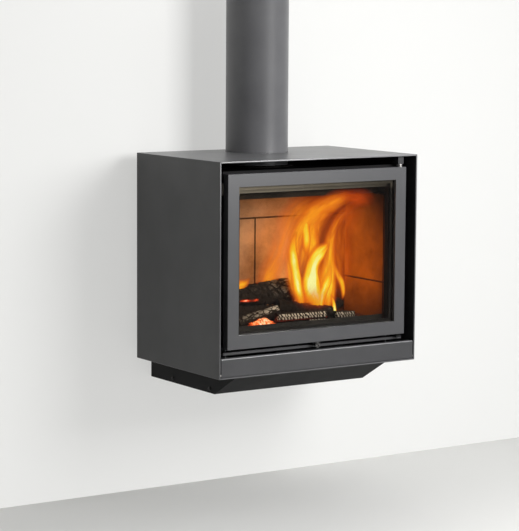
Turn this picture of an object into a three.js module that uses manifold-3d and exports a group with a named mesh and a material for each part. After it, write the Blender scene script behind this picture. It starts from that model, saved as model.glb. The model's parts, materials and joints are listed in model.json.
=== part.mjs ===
// Wall-hung wood stove: a sheet steel casing around a lined firebox, with a glazed side-hung door,
// a drop-down flap over the air control, a console beneath and a flue pipe on top.
// Millimetres, +Z up. The front faces -Y, the wall is the plane Y = 0, and Z = 0 is the underside
// of the casing.

import * as THREE from 'three';
import { mergeVertices } from 'three/addons/utils/BufferGeometryUtils.js';
import Module from 'manifold-3d';

const wasm = await Module();
wasm.setup();

// ---- driving dimensions ------------------------------------------------------------------------

const fit = 0.3;                      // gap between pieces that touch
const round = 32;                     // sides of a round piece
const smallRound = 16;                // sides of a pin or screw
const past = 20;                      // how far a cutting solid runs past what it cuts
const root = 1;                       // how far joined solids run into each other

const casing = { width: 680, height: 604, depth: 452, sheet: 4, wallGap: 50 };
const side = casing.width / 2;
const frontY = -(casing.depth + casing.wallGap);
const backY = -casing.wallGap;
const insideX = side - casing.sheet - fit;

const flue = { y: -168, outer: 92, wall: 2, top: 1104, socket: 48, socketOuter: 94.6, flare: 6 };
const collar = { outer: 89.4, wall: 3.4, flange: 108, flangeThick: 4, top: 597 };
const topHoleGap = 1.5;

const fire = { half: 294, wall: 4, front: -454.7, rear: -212, bottom: 86, top: 562 };
const smoke = { rear: -66, floor: 440 };
const mouth = { half: 271, low: 118, high: 530, returnDepth: 18, sheet: 4 };
const lintel = { low: 511, thick: 3 };
const facePlate = { half: 305, low: 82, high: 574, thick: 5 };

const brick = { sideFace: 265, backFace: -247, backOuter: -216.4, sideOuter: 289.6, front: -440.6 };
const joint = { floor: 120, side: 228, back: 416.5, top: 487, backUpright: -57, gap: 0.8 };
const baffle = { front: -402, thick: 16, lap: 8 };
const upperBaffle = { z: 529, front: -438, depth: 170, half: 280, sheet: 3 };

const grate = { half: 86, front: -396, rear: -284, top: 119.7, plate: 12, foot: 10, rim: 14 };
const grateSlot = { count: 9, half: 4 };
const ashMouth = { half: 82, front: -392, rear: -288 };
const ashBox = { half: 120, front: -454.7, rear: -190, bottom: 22, wall: 3 };
const ashPan = { half: 77, front: -387, rear: -293, bottom: 26, top: 68, wall: 1.6, grip: 20 };
const gripHeight = 8;
const inlet = { z: 54, outer: 30, wall: 2, front: -200, rear: -1, holeGap: 1.5 };
const plinth = { half: 282, front: -440, rear: -222, sheet: 3, strip: 12 };
const floorSlot = { length: 46, width: 9, pitch: 26, count: 12, x: 275, first: 60 };
const retainRail = { thick: 4, height: 13, foot: 16, footThick: 3 };

const door = { left: -307, right: 307, low: 79, high: 568, face: -492, thick: 24, border: 36 };
const bottomRail = 38;
const doorCorner = 1.5;
const glass = { lap: 11, thick: 4, step: 10 };
const retainer = { width: 20, thick: 2.5 };
const rope = { inset: 9, width: 12, thick: 6.6, corner: 26 };
const hinge = { x: 292, y: -480, arm: 5, reach: 10, left: 12, right: 7 };
const hingePinSize = { radius: 4.5, bore: 5, collar: 8, depth: 20, boreDepth: 24 };
const latch = { x: -4, y: -483, z: 72.5, pin: 2.5, bore: 2.9, half: 14, noseY: -463, noseReach: 16 };
const latchEar = { inner: 5.4, outer: 8, half: 7, drop: 6, bridge: 3 };
const latchEye = { radius: 8.4, thick: 3, hole: 2.6 };

const sill = { half: 310, face: -474, low: 55, high: 69, sheet: 2, top: -455 };
const flap = { half: 333, low: 5.4, high: 57, face: -501, depth: 18, sheet: 2, pinY: -498, pinZ: 11 };
const flapPin = { radius: 2.6, bore: 3, length: 9 };
const slide = { half: 84, low: 29, high: 49, y: -458.6, thick: 2.4, lip: 2, lap: 3 };
const slideKnob = { x: -28, neck: 3, radius: 7, near: 10, far: 21 };
const port = { first: -68, pitch: 56, width: 24, count: 3, low: 34, high: 44 };

const tray = { half: 261.4, depth: 70, sheet: 3, bendY: -353, frontY: -476 };
const arm = { web: 4, flange: 44, reach: -338, low: -62, foot: 4 };
const sideScrew = { rear: -126, front: -329, z: -57, radius: 3, length: 11, head: 5.5, headThick: 2.6 };
const plate = { half: 250, low: -62, high: 545, thick: 5, ledge: 505, lipY: -24, lipTop: 538.7 };
const hook = { half: 200, low: 470, sheet: 5, lip: 28, slack: 1.2 };
const wallNut = { x: 210, zs: [70, 450], radius: 10, washer: 15, washerThick: 3, height: 12 };
const wallStud = { radius: 5, showing: 5 };

// ---- finishes ----------------------------------------------------------------------------------

const finish = {
  casingPaint: { color: 0x3d3e3f, roughness: 0.55, metalness: 0.3 },
  doorPaint: { color: 0x6c6e70, roughness: 0.45, metalness: 0.35 },
  fireSteel: { color: 0x161617, roughness: 0.7, metalness: 0.4 },
  castIron: { color: 0x232222, roughness: 0.85, metalness: 0.5 },
  zincSteel: { color: 0x8f9294, roughness: 0.4, metalness: 0.85 },
  brightSteel: { color: 0xc4c6c8, roughness: 0.25, metalness: 1.0 },
  fireclay: { color: 0xa67d5a, roughness: 0.9, metalness: 0.0 },
  vermiculite: { color: 0x7a6a55, roughness: 0.95, metalness: 0.0 },
  ceramicGlass: { color: 0xcfd4d2, roughness: 0.05, metalness: 0.0, transparent: true, opacity: 0.3 },
  glassRope: { color: 0x8b8779, roughness: 1.0, metalness: 0.0 },
  charredWood: { color: 0x1f1a17, roughness: 0.95, metalness: 0.0 },
  embers: { color: 0xc4461c, roughness: 0.9, metalness: 0.0, emissive: 0x7a1c06 },
};

const stove = new THREE.Group();

function add(parent, name, geometry, look) {
  const mesh = new THREE.Mesh(geometry, new THREE.MeshStandardMaterial(finish[look]));
  mesh.name = name;
  parent.add(mesh);
  return mesh;
}

// ---- solid helpers -----------------------------------------------------------------------------

function toSolid(geometry) {
  const bare = geometry.clone();
  bare.deleteAttribute('normal');
  bare.deleteAttribute('uv');
  const merged = mergeVertices(bare, 1e-4);
  const vertProperties = new Float32Array(merged.attributes.position.array);
  const triVerts = new Uint32Array(merged.index.array);
  return new wasm.Manifold(new wasm.Mesh({ numProp: 3, vertProperties, triVerts }));
}

function toGeometry(solid) {
  const mesh = solid.getMesh();
  const geometry = new THREE.BufferGeometry();
  geometry.setAttribute('position', new THREE.BufferAttribute(mesh.vertProperties, 3));
  geometry.setIndex(new THREE.BufferAttribute(mesh.triVerts, 1));
  geometry.computeVertexNormals();
  return geometry;
}

function cut(base, ...tools) {
  return toGeometry(tools.reduce((left, tool) => left.subtract(toSolid(tool)), toSolid(base)));
}

function join(base, ...others) {
  return toGeometry(others.reduce((left, other) => left.add(toSolid(other)), toSolid(base)));
}

function block([x0, x1], [y0, y1], [z0, z1]) {
  const box = new THREE.BoxGeometry(x1 - x0, y1 - y0, z1 - z0);
  return box.translate((x0 + x1) / 2, (y0 + y1) / 2, (z0 + z1) / 2);
}

// The stretch of x between two distances from the middle, on one hand: 1 right, -1 left.
function spanX(near, far, hand) {
  return hand > 0 ? [near, far] : [-far, -near];
}

// A cylinder along one axis between two places on it; the two other coordinates are its centre.
function rod(axis, [from, to], [a, b], radius, sides = smallRound) {
  const cylinder = new THREE.CylinderGeometry(radius, radius, to - from, sides);
  const middle = (from + to) / 2;
  if (axis === 'x') return cylinder.rotateZ(Math.PI / 2).translate(middle, a, b);
  if (axis === 'y') return cylinder.translate(a, middle, b);
  return cylinder.rotateX(Math.PI / 2).translate(a, b, middle);
}

function outline(points) {
  return new THREE.Shape(points.map(([u, v]) => new THREE.Vector2(u, v)));
}

// An outline drawn in (y, z), drawn out along x.
function alongX(points, [x0, x1]) {
  const solid = new THREE.ExtrudeGeometry(outline(points), { depth: x1 - x0, bevelEnabled: false });
  const turn = new THREE.Matrix4().makeBasis(
    new THREE.Vector3(0, 1, 0), new THREE.Vector3(0, 0, 1), new THREE.Vector3(1, 0, 0));
  return solid.applyMatrix4(turn).translate(x0, 0, 0);
}

// A shape drawn in (x, z), drawn out along y.
function alongY(shape, [y0, y1]) {
  const solid = new THREE.ExtrudeGeometry(shape, {
    depth: y1 - y0, bevelEnabled: false, curveSegments: 4,
  });
  return solid.rotateX(Math.PI / 2).translate(0, y1, 0);
}

function roundedRect(path, [x0, x1], [z0, z1], radius) {
  path.moveTo(x0 + radius, z0);
  path.lineTo(x1 - radius, z0);
  path.absarc(x1 - radius, z0 + radius, radius, -Math.PI / 2, 0, false);
  path.absarc(x1 - radius, z1 - radius, radius, 0, Math.PI / 2, false);
  path.absarc(x0 + radius, z1 - radius, radius, Math.PI / 2, Math.PI, false);
  path.absarc(x0 + radius, z0 + radius, radius, Math.PI, Math.PI * 1.5, false);
  return path;
}

// A flat ring between two rounded rectangles that are `width` apart.
function ringY([x0, x1], [z0, z1], width, radius, ys) {
  const shape = roundedRect(new THREE.Shape(), [x0, x1], [z0, z1], radius);
  const innerRadius = Math.max(radius - width, 1);
  shape.holes.push(roundedRect(
    new THREE.Path(), [x0 + width, x1 - width], [z0 + width, z1 - width], innerRadius));
  return alongY(shape, ys);
}

// A turned ring about a vertical axis at the flue's centre, from its (radius, z) profile.
function turned(profile, sides = round) {
  const closed = [...profile, profile[0]].map(([r, z]) => new THREE.Vector2(r, z));
  return new THREE.LatheGeometry(closed, sides).rotateX(Math.PI / 2).translate(0, flue.y, 0);
}

// ---- wall fixing -------------------------------------------------------------------------------

function wallPlate() {
  const sheet = plate.thick;
  const hooked = alongX([
    [0, plate.low], [0, plate.high], [-sheet, plate.high], [-sheet, plate.ledge + sheet],
    [plate.lipY + sheet, plate.ledge + sheet], [plate.lipY + sheet, plate.lipTop],
    [plate.lipY, plate.lipTop], [plate.lipY, plate.ledge], [-sheet, plate.ledge], [-sheet, plate.low],
  ], [-plate.half, plate.half]);
  const airHole = rod('y', [-past, past], [0, inlet.z], inlet.outer + inlet.holeGap, round);
  return cut(hooked, airHole);
}

function flangeNut() {
  const { radius, washer: washerRadius, washerThick, height } = wallNut;
  const washer = rod('y', [-washerThick, 0], [0, 0], washerRadius);
  const hexagon = rod('y', [-height, root - washerThick], [0, 0], radius, 6);
  const studEnd = rod('y', [-height - wallStud.showing, root - height], [0, 0], wallStud.radius);
  return join(washer, hexagon, studEnd);
}

// Folded down behind the plate's raised lip, so that the casing hangs on it.
function hangingHook() {
  const { half, low, sheet, lip, slack } = hook;
  const rootY = backY + fit;
  const lipY = plate.lipY + plate.thick + fit + slack;
  const ledge = plate.lipTop + fit;
  return alongX([
    [rootY, low], [rootY + sheet, low], [rootY + sheet, ledge], [lipY, ledge], [lipY, ledge - lip],
    [lipY + sheet, ledge - lip], [lipY + sheet, ledge + sheet], [rootY, ledge + sheet],
  ], [-half, half]);
}

// A welded arm: an upright web and a level flange, closed at the wall by a foot.
function supportArm(hand) {
  const outer = tray.half - tray.sheet - fit;
  const inner = outer - arm.flange;
  const wallY = -plate.thick - fit;
  const acrossX = spanX(inner, outer, hand);
  const web = block(spanX(outer - arm.web, outer, hand), [arm.reach, wallY], [arm.low, -fit]);
  const flange = block(acrossX, [arm.reach, wallY], [-arm.web - fit, -fit]);
  const foot = block(acrossX, [wallY - arm.foot, wallY], [arm.low, -fit]);
  const holes = [sideScrew.rear, sideScrew.front].map((y) =>
    rod('x', [-side, side], [y, sideScrew.z], sideScrew.radius + fit));
  return cut(join(web, flange, foot), ...holes);
}

// The tray: two sides, a floor and a sloping front, open at the wall and under the casing.
function consoleTray() {
  const { half, depth, sheet, bendY, frontY: lipY } = tray;
  const slope = (lipY - bendY) / depth;
  const inset = sheet * Math.hypot(1, slope);
  const slopedY = (z) => bendY + (z + depth) * slope;
  const outer = alongX(
    [[0, -fit], [0, -depth], [bendY, -depth], [slopedY(-fit), -fit]], [-half, half]);
  const floorZ = sheet - depth;
  const inner = alongX([
    [past, past], [past, floorZ], [slopedY(floorZ) + inset, floorZ], [slopedY(past) + inset, past],
  ], [-half + sheet, half - sheet]);
  const holes = [sideScrew.rear, sideScrew.front].map((y) =>
    rod('x', [-side, side], [y, sideScrew.z], sideScrew.radius + fit));
  return cut(outer, inner, ...holes);
}

function consoleScrew(hand) {
  const start = tray.half + fit;
  const headEnd = start + sideScrew.headThick;
  const shank = rod('x', [start - sideScrew.length, start + root], [0, 0], sideScrew.radius);
  const head = rod('x', [start, headEnd], [0, 0], sideScrew.head);
  const socket = rod('x', [(start + headEnd) / 2, headEnd + root], [0, 0], sideScrew.head / 2, 6);
  const screw = cut(join(shank, head), socket);
  return hand > 0 ? screw : screw.rotateZ(Math.PI);
}

add(stove, 'wall_plate', wallPlate(), 'zincSteel');
let nutCount = 0;
for (const z of wallNut.zs) {
  for (const x of [-wallNut.x, wallNut.x]) {
    nutCount += 1;
    const nut = add(stove, `wall_nut_${nutCount}`, flangeNut(), 'zincSteel');
    nut.position.set(x, -plate.thick - fit, z);
  }
}
add(stove, 'hanging_hook', hangingHook(), 'zincSteel');
add(stove, 'support_arm_left', supportArm(-1), 'zincSteel');
add(stove, 'support_arm_right', supportArm(1), 'zincSteel');
add(stove, 'console_tray', consoleTray(), 'casingPaint');
for (const [word, hand] of [['left', -1], ['right', 1]]) {
  for (const place of ['rear', 'front']) {
    const screw = add(stove, `console_screw_${word}_${place}`, consoleScrew(hand), 'fireSteel');
    screw.position.set(0, sideScrew[place], sideScrew.z);
  }
}

// ---- casing ------------------------------------------------------------------------------------

function casingSide(hand) {
  const xs = hand > 0 ? [side - casing.sheet, side] : [-side, casing.sheet - side];
  return block(xs, [frontY, backY], [0, casing.height]);
}

function casingTop() {
  const top = block([-insideX, insideX], [frontY, backY],
    [casing.height - casing.sheet, casing.height]);
  const pipeHole = rod('z', [casing.height - past, casing.height + past], [0, flue.y],
    flue.outer + topHoleGap, round);
  return cut(top, pipeHole);
}

// Two rows of slots beside the console let the convection air in.
function casingBottom() {
  const bottom = block([-insideX, insideX], [frontY, backY - casing.sheet - fit],
    [0, casing.sheet]);
  const { length, width, pitch, count, x, first } = floorSlot;
  const slots = [];
  for (let i = 0; i < count; i += 1) {
    const y = frontY + first + i * pitch;
    for (const x0 of [-x - length, x]) {
      slots.push(block([x0, x0 + length], [y, y + width], [-past, past]));
    }
  }
  return cut(bottom, ...slots);
}

function casingBack() {
  const panel = block([-insideX, insideX], [backY - casing.sheet, backY],
    [fit, casing.height - casing.sheet - fit]);
  const airHole = rod('y', [backY - past, backY + past], [0, inlet.z],
    inlet.outer + inlet.holeGap, round);
  return cut(panel, airHole);
}

add(stove, 'casing_left', casingSide(-1), 'casingPaint');
add(stove, 'casing_right', casingSide(1), 'casingPaint');
add(stove, 'casing_top', casingTop(), 'casingPaint');
add(stove, 'casing_bottom', casingBottom(), 'casingPaint');
add(stove, 'casing_back', casingBack(), 'casingPaint');

// ---- firebox -----------------------------------------------------------------------------------

// Side outline of the welded body: the fire chamber with the smoke chamber behind its top.
function fireboxOutline(inset, front) {
  return [
    [front, fire.bottom + inset], [fire.rear - inset, fire.bottom + inset],
    [fire.rear - inset, smoke.floor + inset], [smoke.rear - inset, smoke.floor + inset],
    [smoke.rear - inset, fire.top - inset], [front, fire.top - inset],
  ];
}

function fireboxBody() {
  const shell = alongX(fireboxOutline(0, fire.front), [-fire.half, fire.half]);
  const room = alongX(fireboxOutline(fire.wall, fire.front - past),
    [fire.wall - fire.half, fire.half - fire.wall]);
  const outletHole = rod('z', [fire.top - past, fire.top + past], [0, flue.y],
    collar.outer - collar.wall, round);
  const ashHole = block([-ashMouth.half, ashMouth.half], [ashMouth.front, ashMouth.rear],
    [fire.bottom - past, fire.bottom + past]);
  return cut(shell, room, outletHole, ashHole);
}

// The plate that the door closes on, folded back at the sides and down at the top of the mouth.
function fireboxFront() {
  const rearY = fire.front - fit;
  const faceY = rearY - facePlate.thick;
  const face = block([-facePlate.half, facePlate.half], [faceY, rearY],
    [facePlate.low, facePlate.high]);
  const hole = block([-mouth.half, mouth.half], [faceY - past, rearY + past],
    [mouth.low, mouth.high]);
  const folds = [-1, 1].map((hand) =>
    block(spanX(mouth.half - mouth.sheet, mouth.half + root, hand),
      [faceY, faceY + mouth.returnDepth], [mouth.low - root, mouth.high + root]));
  const apron = block([-mouth.half - root, mouth.half + root], [faceY, faceY + lintel.thick],
    [lintel.low, mouth.high + root]);
  return join(cut(face, hole), ...folds, apron);
}

// An open plinth of bent sheet carries the firebox on the casing's floor. Its rear wall is cut down
// to a low strip where the ash box runs back over it.
function fireboxPlinth() {
  const { half, front, rear, sheet, strip } = plinth;
  const zs = [casing.sheet + fit, fire.bottom - fit];
  const walls = join(
    block([-half, sheet - half], [front, rear], zs),
    block([half - sheet, half], [front, rear], zs),
    block([-half, half], [rear - sheet, rear], zs),
  );
  const boxGap = block([-ashBox.half - sheet, ashBox.half + sheet], [rear - past, rear + past],
    [casing.sheet + strip, fire.bottom + past]);
  return cut(walls, boxGap);
}

function flueCollar() {
  const { outer, wall, flange, flangeThick, top } = collar;
  const base = fire.top + fit;
  return turned([
    [outer - wall, base], [flange, base], [flange, base + flangeThick],
    [outer, base + flangeThick], [outer, top], [outer - wall, top],
  ]);
}

// One section of pipe: plain below, widened at the top into a socket for the next section.
function fluePipe() {
  const { outer, wall, top, socket, socketOuter, flare } = flue;
  const foot = fire.top + collar.flangeThick + 4 * fit;
  const neck = top - socket;
  return turned([
    [outer - wall, foot], [outer, foot], [outer, neck - flare], [socketOuter, neck],
    [socketOuter, top], [socketOuter - wall, top], [socketOuter - wall, neck],
    [outer - wall, neck - flare],
  ]);
}

add(stove, 'firebox_body', fireboxBody(), 'fireSteel');
add(stove, 'firebox_front', fireboxFront(), 'fireSteel');
add(stove, 'firebox_plinth', fireboxPlinth(), 'zincSteel');
add(stove, 'flue_collar', flueCollar(), 'castIron');
add(stove, 'flue_pipe', fluePipe(), 'casingPaint');

// ---- lining and baffles ------------------------------------------------------------------------

const brickFloor = fire.bottom + fire.wall + fit;
const besideSides = brick.sideFace - fit;

function addSideBricks(word, hand) {
  const xs = spanX(brick.sideFace, brick.sideOuter, hand);
  const ys = [brick.front, brick.backFace - fit];
  const rows = { lower: [brickFloor, joint.side - joint.gap], upper: [joint.side, joint.top] };
  for (const [row, zs] of Object.entries(rows)) {
    add(stove, `side_brick_${word}_${row}`, block(xs, ys, zs), 'fireclay');
  }
}

function addBackBricks() {
  const ys = [brick.backFace, brick.backOuter];
  const low = [brickFloor, joint.back - joint.gap];
  const seam = joint.backUpright;
  const wide = brick.sideOuter;
  add(stove, 'back_brick_left', block([-wide, seam - joint.gap], ys, low), 'fireclay');
  add(stove, 'back_brick_right', block([seam, wide], ys, low), 'fireclay');
  add(stove, 'back_brick_top', block([-wide, wide], ys, [joint.back, joint.top]), 'fireclay');
}

// The two halves of the hearth meet in the middle, around the grate.
function hearthBrick(hand) {
  const xs = spanX(joint.gap / 2, besideSides, hand);
  const slab = block(xs, [brick.front, brick.backFace - fit], [brickFloor, joint.floor]);
  const grateSpace = block([-grate.half - fit, grate.half + fit],
    [grate.front - fit, grate.rear + fit], [brickFloor - past, joint.floor + past]);
  return cut(slab, grateSpace);
}

function grateCasting() {
  const { half, front, rear, top, plate: thick, foot, rim } = grate;
  const deck = block([-half, half], [front, rear], [top - thick, top]);
  const feet = [-1, 1].map((hand) =>
    block(spanX(half - foot, half, hand), [front, rear], [brickFloor, top - root]));
  const pitch = (2 * (half - foot)) / grateSlot.count;
  const gaps = Array.from({ length: grateSlot.count }, (_, i) => {
    const x = foot - half + (i + 0.5) * pitch;
    return block([x - grateSlot.half, x + grateSlot.half], [front + rim, rear - rim],
      [top - thick - past, top + past]);
  });
  return cut(join(deck, ...feet), ...gaps);
}

// The steel plate above the lower baffle stands on two folded legs.
function upperBafflePlate() {
  const { z, front, depth, half, sheet } = upperBaffle;
  const ys = [front, front + depth];
  const legs = [-1, 1].map((hand) =>
    block(spanX(half - sheet, half, hand), ys, [joint.top + fit, z + root]));
  return join(block([-half, half], ys, [z, z + sheet]), ...legs);
}

addSideBricks('left', -1);
addSideBricks('right', 1);
addBackBricks();
add(stove, 'hearth_brick_left', hearthBrick(-1), 'fireclay');
add(stove, 'hearth_brick_right', hearthBrick(1), 'fireclay');
const lowerBaffleX = brick.sideFace + baffle.lap;
const lowerBaffle = block([-lowerBaffleX, lowerBaffleX], [baffle.front, brick.backOuter],
  [joint.top + fit, joint.top + fit + baffle.thick]);
add(stove, 'baffle_lower', lowerBaffle, 'vermiculite');
add(stove, 'baffle_upper', upperBafflePlate(), 'fireSteel');
add(stove, 'fire_grate', grateCasting(), 'castIron');

// ---- ash box, pan and air supply ---------------------------------------------------------------

// The air ports through a plate that stands near y.
function airPorts(y) {
  const { first, pitch, width, count, low, high } = port;
  return Array.from({ length: count }, (_, i) => {
    const x = first + i * pitch;
    return block([x, x + width], [y - past, y + past], [low, high]);
  });
}

function ashBoxBody() {
  const { half, front, rear, bottom, wall } = ashBox;
  const top = fire.bottom - fit;
  const outer = block([-half, half], [front, rear], [bottom, top]);
  const room = block([wall - half, half - wall], [front + wall, rear - wall],
    [bottom + wall, top + past]);
  const airHole = rod('y', [rear - past, rear + past], [0, inlet.z], inlet.outer + fit, round);
  const shell = cut(outer, room, ...airPorts(front), airHole);
  // Two folded lips hold the sliding plate against the front.
  const { lip, lap } = slide;
  const lipRear = slide.y - slide.thick / 2 - fit;
  const lips = [[slide.high, 1], [slide.low, -1]].flatMap(([edge, hand]) => {
    const spanZ = (from, to) => [edge + from * hand, edge + to * hand].sort((a, b) => a - b);
    return [
      block([-half, half], [lipRear - lip, front + root], spanZ(root, root + lip)),
      block([-half, half], [lipRear - lip, lipRear], spanZ(-lap, root + lip)),
    ];
  });
  return join(shell, ...lips);
}

function ashPanTray() {
  const { half, front, rear, bottom, top, wall, grip } = ashPan;
  const outer = block([-half, half], [front, rear], [bottom, top]);
  const room = block([wall - half, half - wall], [front + wall, rear - wall],
    [bottom + wall, top + past]);
  const gripTab = block([-grip, grip], [rear - wall, rear], [top - root, top + gripHeight]);
  return join(cut(outer, room), gripTab);
}

function airInlet() {
  const { outer, wall, z, front, rear } = inlet;
  return cut(rod('y', [front, rear], [0, z], outer, round),
    rod('y', [front - past, rear + past], [0, z], outer - wall, round));
}

add(stove, 'ash_box', ashBoxBody(), 'fireSteel');
add(stove, 'ash_pan', ashPanTray(), 'zincSteel');
add(stove, 'air_inlet_pipe', airInlet(), 'zincSteel');

function airSlidePlate() {
  const { half, low, high, y, thick } = slide;
  const body = block([-half, half], [y - thick / 2, y + thick / 2], [low, high]);
  const centre = [slideKnob.x, (low + high) / 2];
  const neck = rod('y', [y - slideKnob.near - root, y], centre, slideKnob.neck);
  const knob = rod('y', [y - slideKnob.far, y - slideKnob.near], centre, slideKnob.radius, round);
  return join(cut(body, ...airPorts(y)), neck, knob);
}

const airControl = new THREE.Group();
stove.add(airControl);
add(airControl, 'air_slide', airSlidePlate(), 'zincSteel');

// ---- hearth furniture and fire bed -------------------------------------------------------------

function logRetainer() {
  const { thick, height, foot, footThick } = retainRail;
  const low = joint.floor + fit;
  const y = brick.front + root;
  return join(block([-besideSides, besideSides], [y, y + thick], [low, low + height]),
    block([-besideSides, besideSides], [y, y + foot], [low, low + footThick]));
}

// A split log: a tapered, slightly bent many-sided trunk with the bark's lumps worked in.
function splitLog(radius, length, taper, seed) {
  const rings = 8;
  const sides = 14;
  const oval = 0.09;
  const ridges = 0.06;
  const crook = 0.12;
  const log = new THREE.CylinderGeometry(radius * taper, radius, length, sides, rings);
  const place = log.attributes.position;
  for (let i = 0; i < place.count; i += 1) {
    const x = place.getX(i);
    const y = place.getY(i);
    const z = place.getZ(i);
    const angle = Math.atan2(z, x);
    const along = y / length;
    const lump = 1 + oval * Math.sin(2 * angle + seed)
      + ridges * Math.sin(3 * angle + 9 * along + seed);
    const bend = crook * radius * Math.cos(4 * along + seed);
    place.setXYZ(i, x * lump + bend, y, z * lump);
  }
  return toGeometry(toSolid(log));
}

// A log lies with the centres of its two ends at the given points.
function addLog(name, from, to, radius, taper, seed) {
  const start = new THREE.Vector3(...from);
  const run = new THREE.Vector3(...to).sub(start);
  const log = add(stove, name, splitLog(radius, run.length(), taper, seed), 'charredWood');
  log.position.copy(start).addScaledVector(run, 0.5);
  log.quaternion.setFromUnitVectors(new THREE.Vector3(0, 1, 0), run.normalize());
}

// Glowing lumps banked up behind the retainer.
function emberBed() {
  const bed = { x0: -225, x1: 205, y0: -422, y1: -268, base: joint.floor + fit, edge: 3, rise: 5 };
  const heap = { x: -130, y: -404, width: 100, depth: 62, height: 24 };
  const lump = { height: 1.6, x: 7.3, y: 6.1 };
  const columns = 30;
  const rows = 10;
  const slab = new THREE.BoxGeometry(
    bed.x1 - bed.x0, bed.y1 - bed.y0, 2 * bed.rise, columns, rows, 1);
  slab.translate((bed.x0 + bed.x1) / 2, (bed.y0 + bed.y1) / 2, bed.base + bed.rise);
  const dome = (share) => Math.sqrt(Math.max(0, Math.sin(Math.PI * share)));
  const place = slab.attributes.position;
  for (let i = 0; i < place.count; i += 1) {
    const x = place.getX(i);
    const y = place.getY(i);
    const bank = dome((x - bed.x0) / (bed.x1 - bed.x0)) * dome((y - bed.y0) / (bed.y1 - bed.y0));
    const lumps = lump.height * (Math.sin(x / lump.x) * Math.cos(y / lump.y) + Math.sin((x + y) / 14));
    const fromHeap = Math.hypot((x - heap.x) / heap.width, (y - heap.y) / heap.depth);
    const heaped = heap.height * Math.exp(-5 * fromHeap * fromHeap);
    const onTop = place.getZ(i) > bed.base + bed.rise;
    if (onTop) place.setZ(i, bed.base + bed.edge + bank * (bed.rise + lumps + heaped));
  }
  return toGeometry(toSolid(slab));
}

add(stove, 'log_retainer', logRetainer(), 'castIron');
add(stove, 'ember_bed', emberBed(), 'embers');
addLog('log_back', [-236, -302, 190], [-3, -318, 214], 38, 0.92, 1.3);
addLog('log_leaning', [-40, -372, 170], [122, -392, 147], 24, 0.78, 2.2);
addLog('log_front', [-86, -420, 145], [72, -421, 146], 12.5, 0.95, 4.1);
addLog('log_side', [132, -338, 152], [212, -292, 154], 18, 0.9, 0.4);

// ---- door --------------------------------------------------------------------------------------

const doorLeaf = new THREE.Group();
stove.add(doorLeaf);
const doorRear = door.face + door.thick;
const openX = [door.left + door.border, door.right - door.border];
const openZ = [door.low + bottomRail, door.high - door.border];

function widened([low, high], margin) {
  return [low - margin, high + margin];
}

function doorFrame() {
  const leaf = alongY(roundedRect(new THREE.Shape(), [door.left, door.right],
    [door.low, door.high], doorCorner), [door.face, doorRear]);
  const window = block(openX, [door.face - past, doorRear + past], openZ);
  const rebate = block(widened(openX, glass.lap), [door.face + glass.step, doorRear + past],
    widened(openZ, glass.lap));
  const { bore, boreDepth } = hingePinSize;
  const pinHoles = [[door.low - root, door.low + boreDepth], [door.high - boreDepth, door.high + root]]
    .map((zs) => rod('z', zs, [hinge.x, hinge.y], bore));
  return cut(leaf, window, rebate, ...pinHoles);
}

function doorGlass() {
  const y = door.face + glass.step + fit;
  return block(widened(openX, glass.lap - root), [y, y + glass.thick],
    widened(openZ, glass.lap - root));
}

function glassRetainer() {
  const y = door.face + glass.step + glass.thick + 2 * fit;
  return ringY(widened(openX, glass.lap - root), widened(openZ, glass.lap - root),
    retainer.width, retainer.thick, [y, y + retainer.thick]);
}

function ropeSeal() {
  const { inset, width, thick, corner } = rope;
  return ringY([door.left + inset, hinge.x - hinge.right], [door.low + inset, door.high - inset],
    width, corner, [doorRear + fit, doorRear + fit + thick]);
}

// A bracket under the bottom rail carries the latch pin between two ears.
function latchBracket() {
  const { inner, outer, half, drop, bridge: bridgeThick } = latchEar;
  const top = door.low - fit;
  const bridge = block([latch.x - latch.half, latch.x + latch.half],
    [latch.y - outer, latch.y + outer], [top - bridgeThick, top]);
  const ears = [[-outer, -inner], [inner, outer]].map(([from, to]) =>
    block([latch.x - half, latch.x + half], [latch.y + from, latch.y + to],
      [latch.z - drop, top - root]));
  const bore = rod('y', [latch.y - past, latch.y + past], [latch.x, latch.z], latch.bore);
  return cut(join(bridge, ...ears), bore);
}

// The lever: a pin, an eye for the loose handle in front and a hooked nose behind.
function latchLever() {
  const { x, y, z, noseY, noseReach } = latch;
  const { radius, thick, hole } = latchEye;
  const eyeFront = y - latchEar.outer - 1.5 * thick;
  const noseThick = 3;
  const pin = rod('y', [eyeFront + root, noseY + noseThick], [x, z], latch.pin);
  const eye = rod('y', [eyeFront, eyeFront + thick], [x, z - 2], radius, round);
  const eyeHole = rod('y', [eyeFront - root, eyeFront + thick + root], [x + hole, z - 2 * hole], hole);
  const nose = block([x - noseThick, x + noseReach], [noseY, noseY + noseThick], [z + 0.8, z + 5.6]);
  return cut(join(pin, eye, nose), eyeHole);
}

add(doorLeaf, 'door_frame', doorFrame(), 'doorPaint');
add(doorLeaf, 'door_glass', doorGlass(), 'ceramicGlass');
add(doorLeaf, 'glass_retainer', glassRetainer(), 'fireSteel');
add(doorLeaf, 'rope_seal', ropeSeal(), 'glassRope');
add(doorLeaf, 'latch_bracket', latchBracket(), 'fireSteel');
add(doorLeaf, 'latch_lever', latchLever(), 'brightSteel');

// ---- hinges, sill and keeper -------------------------------------------------------------------

// A knuckle on the face plate with an arm back to it; the pin stands in its bore.
function hingeBracket([low, high]) {
  const { x, y, reach, left, right, arm: armThick } = hinge;
  const faceY = fire.front - fit - facePlate.thick - fit;
  const xs = [x - left, x + right];
  const knuckle = block(xs, [y - reach, y + reach], [low, high]);
  const backArm = block(xs, [y, faceY], [low, low + armThick]);
  const bore = rod('z', [low - past, high + past], [x, y], hingePinSize.bore);
  return cut(join(knuckle, backArm), bore);
}

// A pin with the thin collar that the door rides on.
function hingePin(zs, collarZs) {
  const centre = [hinge.x, hinge.y];
  return join(rod('z', zs, centre, hingePinSize.radius),
    rod('z', collarZs, centre, hingePinSize.collar));
}

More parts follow.
